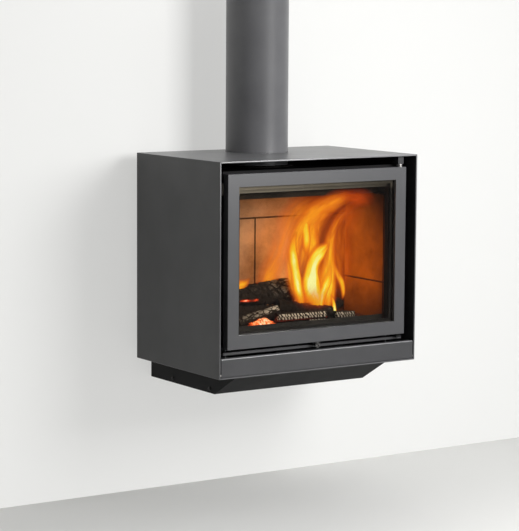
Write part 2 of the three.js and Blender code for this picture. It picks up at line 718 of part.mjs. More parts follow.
// The slot that the latch nose turns down into, through the sill and the keeper under it.
function noseSlot() {
  const play = 1.5;
  return block([latch.x + root, latch.x + latch.noseReach + 2 * play],
    [latch.noseY - play, latch.noseY + 3 * play], [sill.low, sill.high + past]);
}

function sillRail() {
  const { half, face, low, high, sheet, top } = sill;
  const rail = alongX([
    [face, low], [face + sheet, low], [face + sheet, high - sheet], [top - fit, high - sheet],
    [top - fit, high], [face, high],
  ], [-half, half]);
  return cut(rail, noseSlot());
}

function latchKeeper() {
  const top = sill.high - sill.sheet - fit;
  const strip = block([latch.x - latch.half, latch.x + 2 * latch.noseReach],
    [sill.face + sill.sheet + fit, sill.top - root], [top - sill.sheet, top]);
  return cut(strip, noseSlot());
}

const topBracket = [door.high + 9, door.high + 30];
const lowBracket = [sill.high + fit, sill.high + hinge.arm];
add(stove, 'hinge_bracket_top', hingeBracket(topBracket), 'doorPaint');
add(stove, 'hinge_bracket_bottom', hingeBracket(lowBracket), 'doorPaint');
add(stove, 'hinge_pin_top', hingePin([door.high - hingePinSize.depth, topBracket[1] - 2 * root],
  [door.high + fit, topBracket[0] - fit]), 'brightSteel');
add(stove, 'hinge_pin_bottom', hingePin([lowBracket[0] + fit, door.low + hingePinSize.depth],
  [lowBracket[1] + fit, door.low - fit]), 'brightSteel');
add(stove, 'sill_rail', sillRail(), 'doorPaint');
add(stove, 'latch_keeper', latchKeeper(), 'fireSteel');

// ---- flap --------------------------------------------------------------------------------------

const flapLeaf = new THREE.Group();
stove.add(flapLeaf);

function flapPanel() {
  const { half, low, high, face, depth, sheet, pinY, pinZ } = flap;
  const shell = alongX([
    [face, low], [face + sheet, low], [face + sheet, high - sheet], [face + depth, high - sheet],
    [face + depth, high], [face, high],
  ], [-half, half]);
  const earFoot = { reach: 9, rise: 3 };
  const ears = [-1, 1].map((hand) => alongX([
    [face + root, low], [face + earFoot.reach, low + earFoot.rise], [face + depth, high - root],
    [face + root, high - root],
  ], spanX(half - sheet, half, hand)));
  const bores = [-1, 1].map((hand) =>
    rod('x', spanX(insideX - flapPin.length - root, side, hand), [pinY, pinZ], flapPin.bore));
  return cut(join(shell, ...ears), ...bores);
}

function addFlapPin(word, hand) {
  const xs = spanX(insideX - flapPin.length, insideX, hand);
  add(stove, `flap_pin_${word}`, rod('x', xs, [flap.pinY, flap.pinZ], flapPin.radius),
    'brightSteel');
}

add(flapLeaf, 'flap_panel', flapPanel(), 'doorPaint');
addFlapPin('left', -1);
addFlapPin('right', 1);

export default stove;
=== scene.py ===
import json
import math
import random
from functools import partial

import bmesh
import bpy
from mathutils import Matrix, Vector, noise

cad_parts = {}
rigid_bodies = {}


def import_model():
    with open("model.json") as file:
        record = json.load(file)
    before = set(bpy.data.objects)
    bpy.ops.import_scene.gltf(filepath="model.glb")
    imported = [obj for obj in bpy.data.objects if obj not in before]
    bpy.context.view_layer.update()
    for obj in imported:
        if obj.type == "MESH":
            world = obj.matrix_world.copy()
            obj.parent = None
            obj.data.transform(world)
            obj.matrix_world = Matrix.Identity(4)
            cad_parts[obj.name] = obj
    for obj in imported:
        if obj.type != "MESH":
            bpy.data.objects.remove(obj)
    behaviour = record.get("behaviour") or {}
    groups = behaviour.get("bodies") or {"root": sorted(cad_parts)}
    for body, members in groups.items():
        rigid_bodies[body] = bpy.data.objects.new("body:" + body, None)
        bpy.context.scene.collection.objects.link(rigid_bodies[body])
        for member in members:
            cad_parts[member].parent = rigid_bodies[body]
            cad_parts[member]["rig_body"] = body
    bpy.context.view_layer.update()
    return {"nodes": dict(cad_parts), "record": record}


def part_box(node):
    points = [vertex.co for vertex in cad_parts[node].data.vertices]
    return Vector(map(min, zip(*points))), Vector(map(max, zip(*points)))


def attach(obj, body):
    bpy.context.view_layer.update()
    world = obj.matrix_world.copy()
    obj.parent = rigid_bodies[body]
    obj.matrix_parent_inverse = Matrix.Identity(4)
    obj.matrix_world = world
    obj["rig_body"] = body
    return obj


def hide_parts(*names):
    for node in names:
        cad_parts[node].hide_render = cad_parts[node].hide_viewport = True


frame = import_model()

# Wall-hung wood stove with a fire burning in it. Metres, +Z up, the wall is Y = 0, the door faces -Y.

nodes = frame["nodes"]
slotOf = {part["node"]: part["material_slot"] for part in frame["record"]["subparts"]}
mm = 0.001


def linearColour(hexText):
    channels = [int(hexText[i:i + 2], 16) / 255 for i in (1, 3, 5)]
    return [c / 12.92 if c <= 0.04045 else ((c + 0.055) / 1.055) ** 2.4 for c in channels] + [1.0]


# Sets a node by names and values. A node or a socket is linked, and a node stands for its first output in
# use. Any other value goes to the property or the socket of its name, or to the stops of a colour ramp. A
# text that starts with # is a colour.
def setNode(node, settings):
    for name, value in settings.items():
        if isinstance(value, str) and value.startswith("#"):
            value = linearColour(value)
        elif isinstance(value, bpy.types.Node):
            value = next(output for output in value.outputs if output.enabled)
        if isinstance(value, bpy.types.NodeSocket):
            node.id_data.links.new(value, node.inputs[name])
        elif name == "stops":
            setStops(node.color_ramp.elements, value)
        elif isinstance(name, str) and name in node.bl_rna.properties:
            setattr(node, name, value)
        else:
            node.inputs[name].default_value = value
    return node


# Stops are (position, colour), from low to high.
def setStops(elements, stops):
    elements.remove(elements[0])
    elements[0].position = stops[0][0]
    elements[0].color = linearColour(stops[0][1])
    for position, colour in stops[1:]:
        elements.new(position).color = linearColour(colour)


def addNode(tree, kind, settings=None):
    return setNode(tree.nodes.new("ShaderNode" + kind), settings or {})


# Returns a material with its shader, its place in the object's own coordinates, and what adds a node to it.
def newMaterial(name):
    material = bpy.data.materials.new(name)
    material.use_nodes = True
    material.node_tree.nodes.clear()
    add = partial(addNode, material.node_tree)
    shader = add("BsdfPrincipled")
    add("OutputMaterial", {"Surface": shader})
    return material, add, shader, add("TexCoord").outputs["Object"]


# Puts another surface in the place of the material's own.
def showInstead(material, surface):
    setNode(material.node_tree.nodes["Material Output"], {"Surface": surface})


def addObject(name, data):
    added = bpy.data.objects.new(name, data)
    bpy.context.scene.collection.objects.link(added)
    return added


def meshObject(name, mesh, material):
    data = bpy.data.meshes.new(name)
    mesh.to_mesh(data)
    mesh.free()
    data.materials.append(material)
    return addObject(name, data)


def finishPiece(name, mesh, material, body="root", standsFor=()):
    piece = meshObject(name, mesh, material)
    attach(piece, body)
    if standsFor:
        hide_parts(*standsFor)


def isSharp(edge, degrees):
    return edge.is_manifold and edge.calc_face_angle(0.0) > math.radians(degrees)


def shadeSmooth(mesh, sharpAngle):
    for face in mesh.faces:
        face.smooth = True
    for edge in mesh.edges:
        if isSharp(edge, sharpAngle):
            edge.smooth = False


# Extrudes faces where they are, and returns the new corners.
def extrudeFaces(mesh, faces):
    grown = bmesh.ops.extrude_face_region(mesh, geom=faces)
    return [item for item in grown["geom"] if isinstance(item, bmesh.types.BMVert)]


# Materials

# Heatproof stove enamel, sprayed and baked on sheet steel: a dry, fine-grained grey coat. Along its edges
# it is drawn paler and glossier: worn paint, and a painted highlight.
def sprayedEnamel(part):
    look = enamelLooks[part]
    material, add, shader, place = newMaterial("sprayed" + part + "Enamel")
    cloud = add("TexNoise", {"Scale": 9.0, "Detail": 3.0, "Vector": place})
    # The real grit is 0.2 mm. It is drawn coarser, at the size given, so that it shows.
    grit = add("TexNoise", {"Scale": 1 / (look["grit"] * mm), "Detail": 2.0, "Vector": place})
    tone = add("MapRange", {"From Min": 0.3, "From Max": 0.7, "Value": cloud})
    speck = add("MapRange", {"From Min": 0.35, "From Max": 0.65, "Value": grit})
    share = add("Math", {"operation": "MULTIPLY_ADD", 0: speck, 1: 0.35, 2: tone})
    coat = add("ValToRGB", {"stops": [(0.0, look["dark"]), (1.0, look["light"])], "Fac": share})
    # The marked edges are drawn paler: worn paint, and a painted highlight.
    edge = add("Attribute", {"attribute_name": "brokenEdge"}).outputs["Fac"]
    patchy = add("MapRange", {"To Min": 0.5, "To Max": 1.0, "Value": grit})
    rubbed = add("Math", {"operation": "MULTIPLY", 0: edge, 1: patchy})
    colour = add("Mix", {"data_type": "RGBA", "B": look["rubbed"], "Factor": rubbed, "A": coat})
    dull = add("MapRange", {"To Min": look["roughness"] + 0.05, "To Max": look["roughness"] - 0.05,
                            "Value": cloud})
    polished = add("Math", {"operation": "MULTIPLY_ADD", 0: rubbed, 1: -0.08, 2: dull})
    bump = add("Bump", {"Strength": 0.25, "Distance": 0.05 * mm, "Height": grit})
    setNode(shader, {"Specular IOR Level": look["specular"], "Base Color": colour, "Roughness": polished,
                     "Normal": bump})
    return material


# The greys, grit in mm and gloss of each enamelled part. The casing, top, door, flap and pipe share one
# enamel, drawn in lit and shaded copies: their greys differ as painted light and shade.
enamelLooks = {
    # Drawn darker, for the casing's shaded side: painted shade.
    "Casing": {"dark": "#202021", "light": "#272728", "rubbed": "#5E5E60", "grit": 0.9, "roughness": 0.4,
               "specular": 0.5},
    # Drawn paler and glossier than the casing: painted light and a painted reflection.
    "Top": {"dark": "#59595A", "light": "#636365", "rubbed": "#7A7A7C", "grit": 0.9, "roughness": 0.34,
            "specular": 1.0},
    # Drawn paler than the casing: painted light.
    "Door": {"dark": "#3F3F41", "light": "#48484A", "rubbed": "#626264", "grit": 0.7, "roughness": 0.34,
             "specular": 0.65},
    # Drawn darker than the door, as painted shade; its bright edge paint is a painted highlight on the fold.
    "Flap": {"dark": "#333335", "light": "#3C3C3E", "rubbed": "#8E8E90", "grit": 0.7, "roughness": 0.36,
             "specular": 0.6},
    # Drawn paler than the casing: painted light.
    "Pipe": {"dark": "#58585A", "light": "#626264", "rubbed": "#747476", "grit": 0.8, "roughness": 0.36,
             "specular": 0.35},
    "Console": {"dark": "#0C0C0D", "light": "#121213", "rubbed": "#262627", "grit": 0.9, "roughness": 0.65,
                "specular": 0.16},
}

# The bleached band runs over the heights given, and fades from its paler end to its darker end.
blackEnamelLook = {"dark": "#0B0B0C", "light": "#161516", "bleached": "#8B887F", "bandLow": (505, 513),
                   "bandHigh": (545, 538), "darkerEnd": 300, "palerEnd": -240, "roughness": 0.7}


# Black enamel on the steel round the fire, baked dull, and bleached grey over the mouth, where it is
# hottest.
def bakedBlackEnamel():
    look = blackEnamelLook
    material, add, shader, place = newMaterial("bakedBlackEnamel")
    soot = add("TexNoise", {"Scale": 24.0, "Detail": 5.0, "Vector": place})
    coat = add("ValToRGB", {"stops": [(0.3, look["dark"]), (0.7, look["light"])], "Fac": soot})
    spot = add("SeparateXYZ", {"Vector": place})
    low, high = look["bandLow"], look["bandHigh"]
    above = add("MapRange", {"From Min": low[0] * mm, "From Max": low[1] * mm, "Value": spot.outputs["Z"]})
    below = add("MapRange", {"From Min": high[0] * mm, "From Max": high[1] * mm, "Value": spot.outputs["Z"]})
    fromLeft = add("MapRange", {"From Min": look["darkerEnd"] * mm, "From Max": look["palerEnd"] * mm,
                                "To Min": 0.1, "To Max": 1.0, "Value": spot.outputs["X"]})
    band = add("Math", {"operation": "MULTIPLY", 0: above, 1: below})
    worn = add("Math", {"operation": "MULTIPLY", 0: band, 1: fromLeft})
    colour = add("Mix", {"data_type": "RGBA", "B": look["bleached"], "Factor": worn, "A": coat})
    dull = add("MapRange", {"To Min": look["roughness"] - 0.06, "To Max": look["roughness"] + 0.1,
                            "Value": soot})
    setNode(shader, {"Specular IOR Level": 0.15, "Base Color": colour, "Roughness": dull})
    return material


# Steel sheet, electroplated with zinc: a grey metal with soft, cloudy crystals about 8 mm across.
def zincPlatedSheet():
    material, add, shader, place = newMaterial("zincPlatedSheet")
    spangle = add("TexVoronoi", {"Scale": 1 / (8 * mm), "Vector": place})
    blotch = add("TexNoise", {"Scale": 30.0, "Detail": 4.0, "Vector": place})
    mixed = add("Math", {"operation": "MULTIPLY_ADD", 0: spangle.outputs["Color"], 1: 0.4, 2: blotch})
    ramp = add("ValToRGB", {"stops": [(0.3, "#8A8E91"), (0.9, "#B4B8BA")], "Fac": mixed})
    dull = add("MapRange", {"To Min": 0.34, "To Max": 0.5, "Value": mixed})
    setNode(shader, {"Metallic": 0.9, "Base Color": ramp, "Roughness": dull})
    return material


# Bare steel bar, turned on a lathe, with fine rings round it: bright, or oil-blackened.
def turnedSteel(name, shade, shine):
    material, add, shader, place = newMaterial(name)
    rings = add("TexWave", {"bands_direction": "Z", "Scale": 900.0, "Distortion": 1.5, "Vector": place})
    stain = add("TexNoise", {"Scale": 150.0, "Detail": 3.0, "Vector": place})
    ramp = add("ValToRGB", {"stops": [(0.3, shade), (0.7, shine)], "Fac": stain})
    dull = add("MapRange", {"To Min": 0.2, "To Max": 0.36, "Value": rings.outputs["Fac"]})
    setNode(shader, {"Metallic": 1.0, "Base Color": ramp, "Roughness": dull})
    return material


# Grey iron, sand cast and blackened: grainy and dull, with a brown bloom from the heat.
def sandCastIron():
    material, add, shader, place = newMaterial("sandCastIron")
    # Moulding sand leaves grains of 0.5 mm. They are drawn at 1.5 mm, so that they show.
    grain = add("TexNoise", {"Scale": 1 / (1.5 * mm), "Detail": 4.0, "Vector": place})
    bloom = add("TexNoise", {"Scale": 22.0, "Detail": 5.0, "Vector": place})
    ramp = add("ValToRGB", {"stops": [(0.35, "#121211"), (0.7, "#221F1C")], "Fac": bloom})
    dull = add("MapRange", {"To Min": 0.6, "To Max": 0.85, "Value": grain})
    bump = add("Bump", {"Strength": 0.6, "Distance": 0.4 * mm, "Height": grain})
    setNode(shader, {"Specular IOR Level": 0.25, "Base Color": ramp, "Roughness": dull, "Normal": bump})
    return material


# The firelight is painted on the clay as a glow of its own, which fades over the reach, in mm, from the
# place given. Behind the flames, from one X to the other, the clay is drawn darker and redder and its
# painted
# glow redder: soot, and painted firelight.
backBrickLook = {"grain": 2.2, "soot": "#4E3A28", "cool": "#866C54", "warm": "#B28E6C", "joint": "#100B07",
                 "firelight": "#F49A54", "firelightAt": (30, -300, 320), "reach": (290, 30),
                 "strength": 0.38, "reddens": (40, 150), "redClay": "#5A3212", "redLight": "#DC6A0C"}
# The right-hand bricks are a lit copy of the fireclay: drawn oranger, with twice the painted glow, as
# painted firelight on the wall that faces the flames.
rightBrickLook = {"grain": 2.2, "soot": "#221204", "cool": "#472B0C", "warm": "#684014", "joint": "#100B07",
                  "firelight": "#D86206", "firelightAt": (240, -310, 290), "reach": (230, 30),
                  "strength": 0.76}


# Firebrick, pressed from fireclay and fired: dusty, tan, speckled with grog, sooted in patches and along
# its joints. The firelight on it is painted, as a glow of its own, strongest beside the flames.
def pressedFireclay(name, look):
    material, add, shader, place = newMaterial(name)
    grog = add("TexNoise", {"Scale": 1 / (look["grain"] * mm), "Detail": 3.0, "Vector": place})
    patch = add("TexNoise", {"Scale": 11.0, "Detail": 5.0, "Roughness": 0.6, "Vector": place})
    clay = add("Math", {"operation": "MULTIPLY_ADD", 0: grog, 1: 0.4, 2: patch})
    ramp = add("ValToRGB", {"stops": [(0.4, look["soot"]), (0.6, look["cool"]), (0.95, look["warm"])],
                            "Fac": clay})
    body, flush = ramp, None
    # Behind the flames the clay turns darker and redder and its painted glow redder: soot, and painted
    # firelight.
    if "reddens" in look:
        start, end = look["reddens"]
        width = add("SeparateXYZ", {"Vector": place})
        behind = add("MapRange", {"interpolation_type": "SMOOTHSTEP", "From Min": start * mm,
                                  "From Max": end * mm, "Value": width.outputs["X"]})
        body = add("Mix", {"data_type": "RGBA", "B": look["redClay"], "Factor": behind, "A": ramp})
        flush = add("Mix", {"data_type": "RGBA", "A": look["firelight"], "B": look["redLight"],
                            "Factor": behind})
    edge = add("Attribute", {"attribute_name": "brokenEdge"}).outputs["Fac"]
    colour = add("Mix", {"data_type": "RGBA", "B": look["joint"], "Factor": edge, "A": body})
    # Painted firelight: the clay's own glow, strongest near the fire's place.
    fire = add("VectorMath", {"operation": "DISTANCE", 0: place, 1: [v * mm for v in look["firelightAt"]]})
    near = add("MapRange", {"interpolation_type": "SMOOTHSTEP", "From Min": look["reach"][0] * mm,
                            "From Max": look["reach"][1] * mm, "Value": fire})
    lit = add("Math", {"operation": "MULTIPLY", 0: near, 1: clay})
    clean = add("Math", {"operation": "SUBTRACT", 0: 1.0, 1: edge})
    shown = add("Math", {"operation": "MULTIPLY", 0: lit, 1: clean})
    strength = add("Math", {"operation": "MULTIPLY", 0: shown, 1: look["strength"]})
    bump = add("Bump", {"Strength": 0.5, "Distance": 0.6 * mm, "Height": grog})
    setNode(shader, {"Emission Color": look["firelight"], "Roughness": 0.93, "Specular IOR Level": 0.05,
                     "Base Color": colour, "Emission Strength": strength, "Normal": bump})
    if flush:
        setNode(shader, {"Emission Color": flush})
    return material


# Vermiculite board, pressed from mica flakes: brown, sooted, with a glint here and there.
def pressedVermiculite():
    material, add, shader, place = newMaterial("pressedVermiculite")
    flakes = add("TexVoronoi", {"Scale": 1 / (3 * mm), "Vector": place})
    soot = add("TexNoise", {"Scale": 14.0, "Detail": 4.0, "Vector": place})
    mixed = add("Math", {"operation": "MULTIPLY_ADD", 0: flakes.outputs["Color"], 1: 0.3, 2: soot})
    ramp = add("ValToRGB", {"stops": [(0.4, "#17130F"), (0.9, "#3A3026")], "Fac": mixed})
    bump = add("Bump", {"Strength": 0.5, "Distance": 0.5 * mm, "Height": flakes.outputs["Distance"]})
    setNode(shader, {"Roughness": 0.85, "Specular IOR Level": 0.2, "Base Color": ramp, "Normal": bump})
    return material


# Glass ceramic, rolled and polished: clear with a faint warm tint, and a smoky film from the fire.
def rolledGlassCeramic():
    material, add, shader, place = newMaterial("rolledGlassCeramic")
    film = add("TexNoise", {"Scale": 7.0, "Detail": 4.0, "Vector": place})
    ramp = add("ValToRGB", {"stops": [(0.3, "#EEE8DE"), (0.7, "#FCFAF5")], "Fac": film})
    clear = add("BsdfTransparent", {"Color": (0.85, 0.82, 0.78, 1)})
    ray = add("LightPath")
    passing = add("Math", {"operation": "MAXIMUM", 0: ray.outputs["Is Shadow Ray"],
                           1: ray.outputs["Is Diffuse Ray"]})
    mix = add("MixShader", {0: passing, 1: shader, 2: clear})
    showInstead(material, mix)
    setNode(shader, {"Transmission Weight": 1.0, "Roughness": 0.0, "IOR": 1.5, "Specular IOR Level": 0.02,
                     "Base Color": ramp})
    return material


# Glass fibre yarn, braided into rope: matt grey strands, about 2 mm wide, crossing both ways.
def braidedGlassRope():
    material, add, shader, place = newMaterial("braidedGlassRope")
    strands = add("TexVoronoi", {"Scale": 1 / (2.4 * mm), "feature": "DISTANCE_TO_EDGE", "Vector": place})
    soil = add("TexNoise", {"Scale": 60.0, "Detail": 3.0, "Vector": place})
    ramp = add("ValToRGB", {"stops": [(0.3, "#5E5A52"), (0.7, "#A39E92")], "Fac": soil})
    bump = add("Bump", {"Strength": 0.8, "Distance": 0.8 * mm, "Height": strands.outputs["Distance"]})
    setNode(shader, {"Roughness": 0.95, "Base Color": ramp, "Normal": bump})
    return material


charLook = {"black": "#191613", "brown": "#382D25", "ash": "#D6CAB8", "glowStrength": 2.6}


# Split oak, charred by fire: black and cracked in blocks, with white ash where it has burnt longest.
# The attributes ash and glow are worked out on the log's own surface.
def charredOak():
    look = charLook
    material, add, shader, place = newMaterial("charredOak")
    grain = add("TexNoise", {"Scale": 1 / (2.5 * mm), "Detail": 4.0, "Vector": place})
    char = add("ValToRGB", {"stops": [(0.35, look["black"]), (0.75, look["brown"])], "Fac": grain})
    ash = add("Attribute", {"attribute_name": "ash"}).outputs["Fac"]
    ragged = add("Math", {"operation": "MULTIPLY_ADD", 0: grain, 1: 0.5, 2: -0.25})
    ashShare = add("Math", {"operation": "ADD", "use_clamp": True, 0: ash, 1: ragged})
    edge = add("MapRange", {"From Min": 0.25, "From Max": 0.8, "Value": ashShare})
    colour = add("Mix", {"data_type": "RGBA", "B": look["ash"], "Factor": edge, "A": char})
    glow = add("Attribute", {"attribute_name": "glow"}).outputs["Fac"]
    strength = add("Math", {"operation": "MULTIPLY", 0: glow, 1: look["glowStrength"]})
    heat = add("ValToRGB", {"stops": [(0.0, "#A82408"), (0.4, "#F04A18"), (0.75, "#FF8A5C"),
                                      (1.0, "#FFD2B8")], "Fac": glow})
    bump = add("Bump", {"Strength": 0.7, "Distance": 1.0 * mm, "Height": grain})
    setNode(shader, {"Roughness": 0.9, "Specular IOR Level": 0.1, "Base Color": colour,
                     "Emission Strength": strength, "Emission Color": heat, "Normal": bump})
    return material


# Charcoal, glowing from within: an ashy black crust over orange, brighter where the attribute burn is.
def glowingCharcoal():
    material, add, shader, place = newMaterial("glowingCharcoal")
    crust = add("TexNoise", {"Scale": 1 / (6 * mm), "Detail": 3.0, "Vector": place})
    colour = add("ValToRGB", {"stops": [(0.35, "#0C0A09"), (0.6, "#221C18"), (0.85, "#6A6058")],
                              "Fac": crust})
    burn = add("Attribute", {"attribute_name": "burn"}).outputs["Fac"]
    split = add("MapRange", {"From Min": 0.72, "From Max": 0.44, "Value": crust})
    power = add("Math", {"operation": "MULTIPLY", 0: burn, 1: split})
    light = add("ValToRGB", {"stops": [(0.0, "#5A0A00"), (0.25, "#D8400C"), (0.5, "#FF7430"),
                                       (0.75, "#FFA468"), (1.0, "#FFDCBC")], "Fac": power})
    strength = add("MapRange", {"From Min": 0.05, "From Max": 0.5, "To Min": 0.0, "To Max": 1.6,
                                "Value": power})
    setNode(shader, {"Roughness": 0.95, "Specular IOR Level": 0.1, "Base Color": colour,
                     "Emission Color": light, "Emission Strength": strength})
    return material


# Wood ash: a soft grey powder with darker char in it.
def looseWoodAsh():
    material, add, shader, place = newMaterial("looseWoodAsh")
    crumbs = add("TexNoise", {"Scale": 1 / (4 * mm), "Detail": 5.0, "Vector": place})
    drift = add("TexNoise", {"Scale": 16.0, "Detail": 3.0, "Vector": place})
    mixed = add("Math", {"operation": "MULTIPLY_ADD", 0: crumbs, 1: 0.5, 2: drift})
    ramp = add("ValToRGB", {"stops": [(0.55, "#0F0C0A"), (0.85, "#2C2620"), (1.0, "#6E665C")], "Fac": mixed})
    bump = add("Bump", {"Strength": 0.8, "Distance": 1.5 * mm, "Height": crumbs})
    setNode(shader, {"Roughness": 1.0, "Specular IOR Level": 0.1, "Base Color": ramp, "Normal": bump})
    return material


flameLook = {"streak": 9.0, "stretch": 0.2, "strength": 1.08}


# Burning wood gas: light with no surface of its own, from red at its edge to pale yellow at its heart.
def burningWoodGas():
    look = flameLook
    material, add, shader, _ = newMaterial("burningWoodGas")
    uv = add("UVMap", {"uv_map": "tongue"})
    drawn = add("Mapping", {"Scale": (1.0, look["stretch"], 1.0), "Vector": uv})
    streak = add("TexNoise", {"Scale": look["streak"], "Detail": 2.0, "Distortion": 0.2, "Vector": drawn})
    burn = add("Attribute", {"attribute_name": "burn"}).outputs["Fac"]
    gain = add("MapRange", {"From Min": 0.3, "From Max": 0.7, "To Min": 0.8, "To Max": 1.12,
                            "Value": streak})
    power = add("Math", {"operation": "MULTIPLY", 0: burn, 1: gain})
    warm = add("Attribute", {"attribute_name": "warmth"}).outputs["Fac"]
    shade = add("Math", {"operation": "MULTIPLY", 0: power, 1: warm})
    light = add("ValToRGB", {"stops": [(0.0, "#A82800"), (0.2, "#D95208"), (0.4, "#F27C16"),
                                       (0.58, "#FFA11E"), (0.74, "#FFC826"), (0.88, "#FFE94E"),
                                       (1.0, "#FFFFA8")], "Fac": shade})
    alpha = add("MapRange", {"interpolation_type": "SMOOTHSTEP", "From Min": 0.02, "From Max": 0.7,
                             "To Min": 0.0, "To Max": 0.97, "Value": power})
    setNode(shader, {"Emission Strength": look["strength"], "Base Color": (0, 0, 0, 1), "Roughness": 1.0,
                     "Specular IOR Level": 0.0, "Emission Color": light, "Alpha": alpha})
    return material


enamel = {part: sprayedEnamel(part) for part in enamelLooks}
blackEnamel = bakedBlackEnamel()
zinc = zincPlatedSheet()
brightSteel = turnedSteel("turnedSteel", "#A9A6A1", "#D2D1CE")
blackSteel = turnedSteel("oilBlackedSteel", "#1E1D1C", "#3A3938")
wornSteel = turnedSteel("wornBlackedSteel", "#343332", "#8C8A88")
iron = sandCastIron()
fireclay = pressedFireclay("pressedFireclay", backBrickLook)
sootyFireclay = pressedFireclay("sootyFireclay", rightBrickLook)
vermiculite = pressedVermiculite()
glassCeramic = rolledGlassCeramic()
glassRope = braidedGlassRope()
oak = charredOak()
charcoal = glowingCharcoal()
ashPowder = looseWoodAsh()
flameGas = burningWoodGas()
print("materials made:", len(bpy.data.materials))

byFinish = {
    "casing_paint": enamel["Casing"], "door_paint": enamel["Door"], "fire_steel": blackEnamel,
    "cast_iron": iron, "zinc_steel": zinc, "bright_steel": brightSteel, "fireclay": fireclay,
    "vermiculite": vermiculite, "ceramic_glass": glassCeramic, "glass_rope": glassRope,
    "charred_wood": oak, "embers": charcoal,
}
# Nodes whose finish is a variant of their slot's. The pipe, top and flap variants are painted light and
# shade on one enamel; the lower hinge bracket takes the console's near-black enamel as painted shade, and
# the right-hand bricks the oranger fireclay with its painted firelight.
byNode = {
    "console_tray": enamel["Console"], "hinge_bracket_bottom": enamel["Console"],
    "hinge_pin_bottom": blackSteel, "latch_lever": wornSteel, "flue_pipe": enamel["Pipe"],
    "casing_top": enamel["Top"], "flap_panel": enamel["Flap"], "hinge_bracket_top": enamel["Casing"],
    "side_brick_right_lower": sootyFireclay, "side_brick_right_upper": sootyFireclay,
}


def finishOf(node):
    return byNode.get(node, byFinish[slotOf[node]])


for node in slotOf:
    nodes[node].data.materials.clear()
    nodes[node].data.materials.append(finishOf(node))


# Sheets, castings and bricks, with their edges in mm. Before rimY the thin edges of sheets are drawn paler
# too: worn paint and a painted highlight. The flap's fold has a radius of its own, and of the flap's edges
# it
# alone is drawn paler: worn paint and a painted highlight along the fold. The sill rail is trimmed at its
# foot, as the photo shows it.
brokenEdges = {
    "casing": {"edge": 1.0, "rimY": -501,
               "nodes": ["casing_left", "casing_right", "casing_top", "casing_bottom"]},
    "sheet": {"edge": 0.7,
              "nodes": ["casing_back", "console_tray", "firebox_front", "hanging_hook", "wall_plate",
                        "support_arm_left", "support_arm_right", "ash_pan", "air_slide"]},
    "flap": {"edge": 0.6, "fold": {"y": -501, "z": 57, "radius": 2.6}, "nodes": ["flap_panel"]},
    "sill": {"edge": 0.6, "cutBelow": 62, "nodes": ["sill_rail"]},
    "frame": {"edge": 1.8, "nodes": ["door_frame"]},
    "bracket": {"edge": 0.8,
                "nodes": ["hinge_bracket_top", "hinge_bracket_bottom", "baffle_upper", "latch_bracket",
                          "latch_lever", "glass_retainer"]},
    "casting": {"edge": 1.2, "nodes": ["log_retainer", "fire_grate", "flue_collar"]},
    "nut": {"edge": 0.5, "nodes": ["wall_nut_1", "wall_nut_2", "wall_nut_3", "wall_nut_4"]},
    "pane": {"edge": 0.6, "nodes": ["door_glass"]},
    "rope": {"edge": 2.6, "nodes": ["rope_seal"]},
    "brick": {"edge": 2.0,
              "nodes": ["side_brick_left_lower", "side_brick_left_upper", "side_brick_right_lower",
                        "side_brick_right_upper", "back_brick_left", "back_brick_right", "back_brick_top",
                        "hearth_brick_left", "hearth_brick_right", "baffle_lower"]},
}
# How edges are found, in mm and degrees, and in how many steps they are rounded.
edgeRules = {"mergeWithin": 0.02, "flatWithin": 1, "foldWithin": 0.1, "sharpFrom": 25, "steps": 3,
             "foldSteps": 5}


def pieceNameOf(node):
    words = node.split("_")
    return words[0] + "".join(word.capitalize() for word in words[1:])


def trimFoot(mesh, height):
    everything = list(mesh.verts) + list(mesh.edges) + list(mesh.faces)
    trimmed = bmesh.ops.bisect_plane(mesh, geom=everything, plane_co=(0, 0, height * mm), plane_no=(0, 0, 1),
                                     clear_inner=True)
    rim = [item for item in trimmed["geom_cut"] if isinstance(item, bmesh.types.BMEdge)]
    bmesh.ops.holes_fill(mesh, edges=rim)
    bmesh.ops.recalc_face_normals(mesh, faces=mesh.faces)


def onFold(point, fold):
    offsets = (point.y - fold["y"] * mm, point.z - fold["z"] * mm)
    return all(abs(offset) < edgeRules["foldWithin"] * mm for offset in offsets)


def roundEdges(mesh, edges, radius, steps):
    return bmesh.ops.bevel(mesh, geom=edges, offset=radius * mm, offset_type="OFFSET", segments=steps,
                           profile=0.5, affect="EDGES", material=-1, clamp_overlap=True)


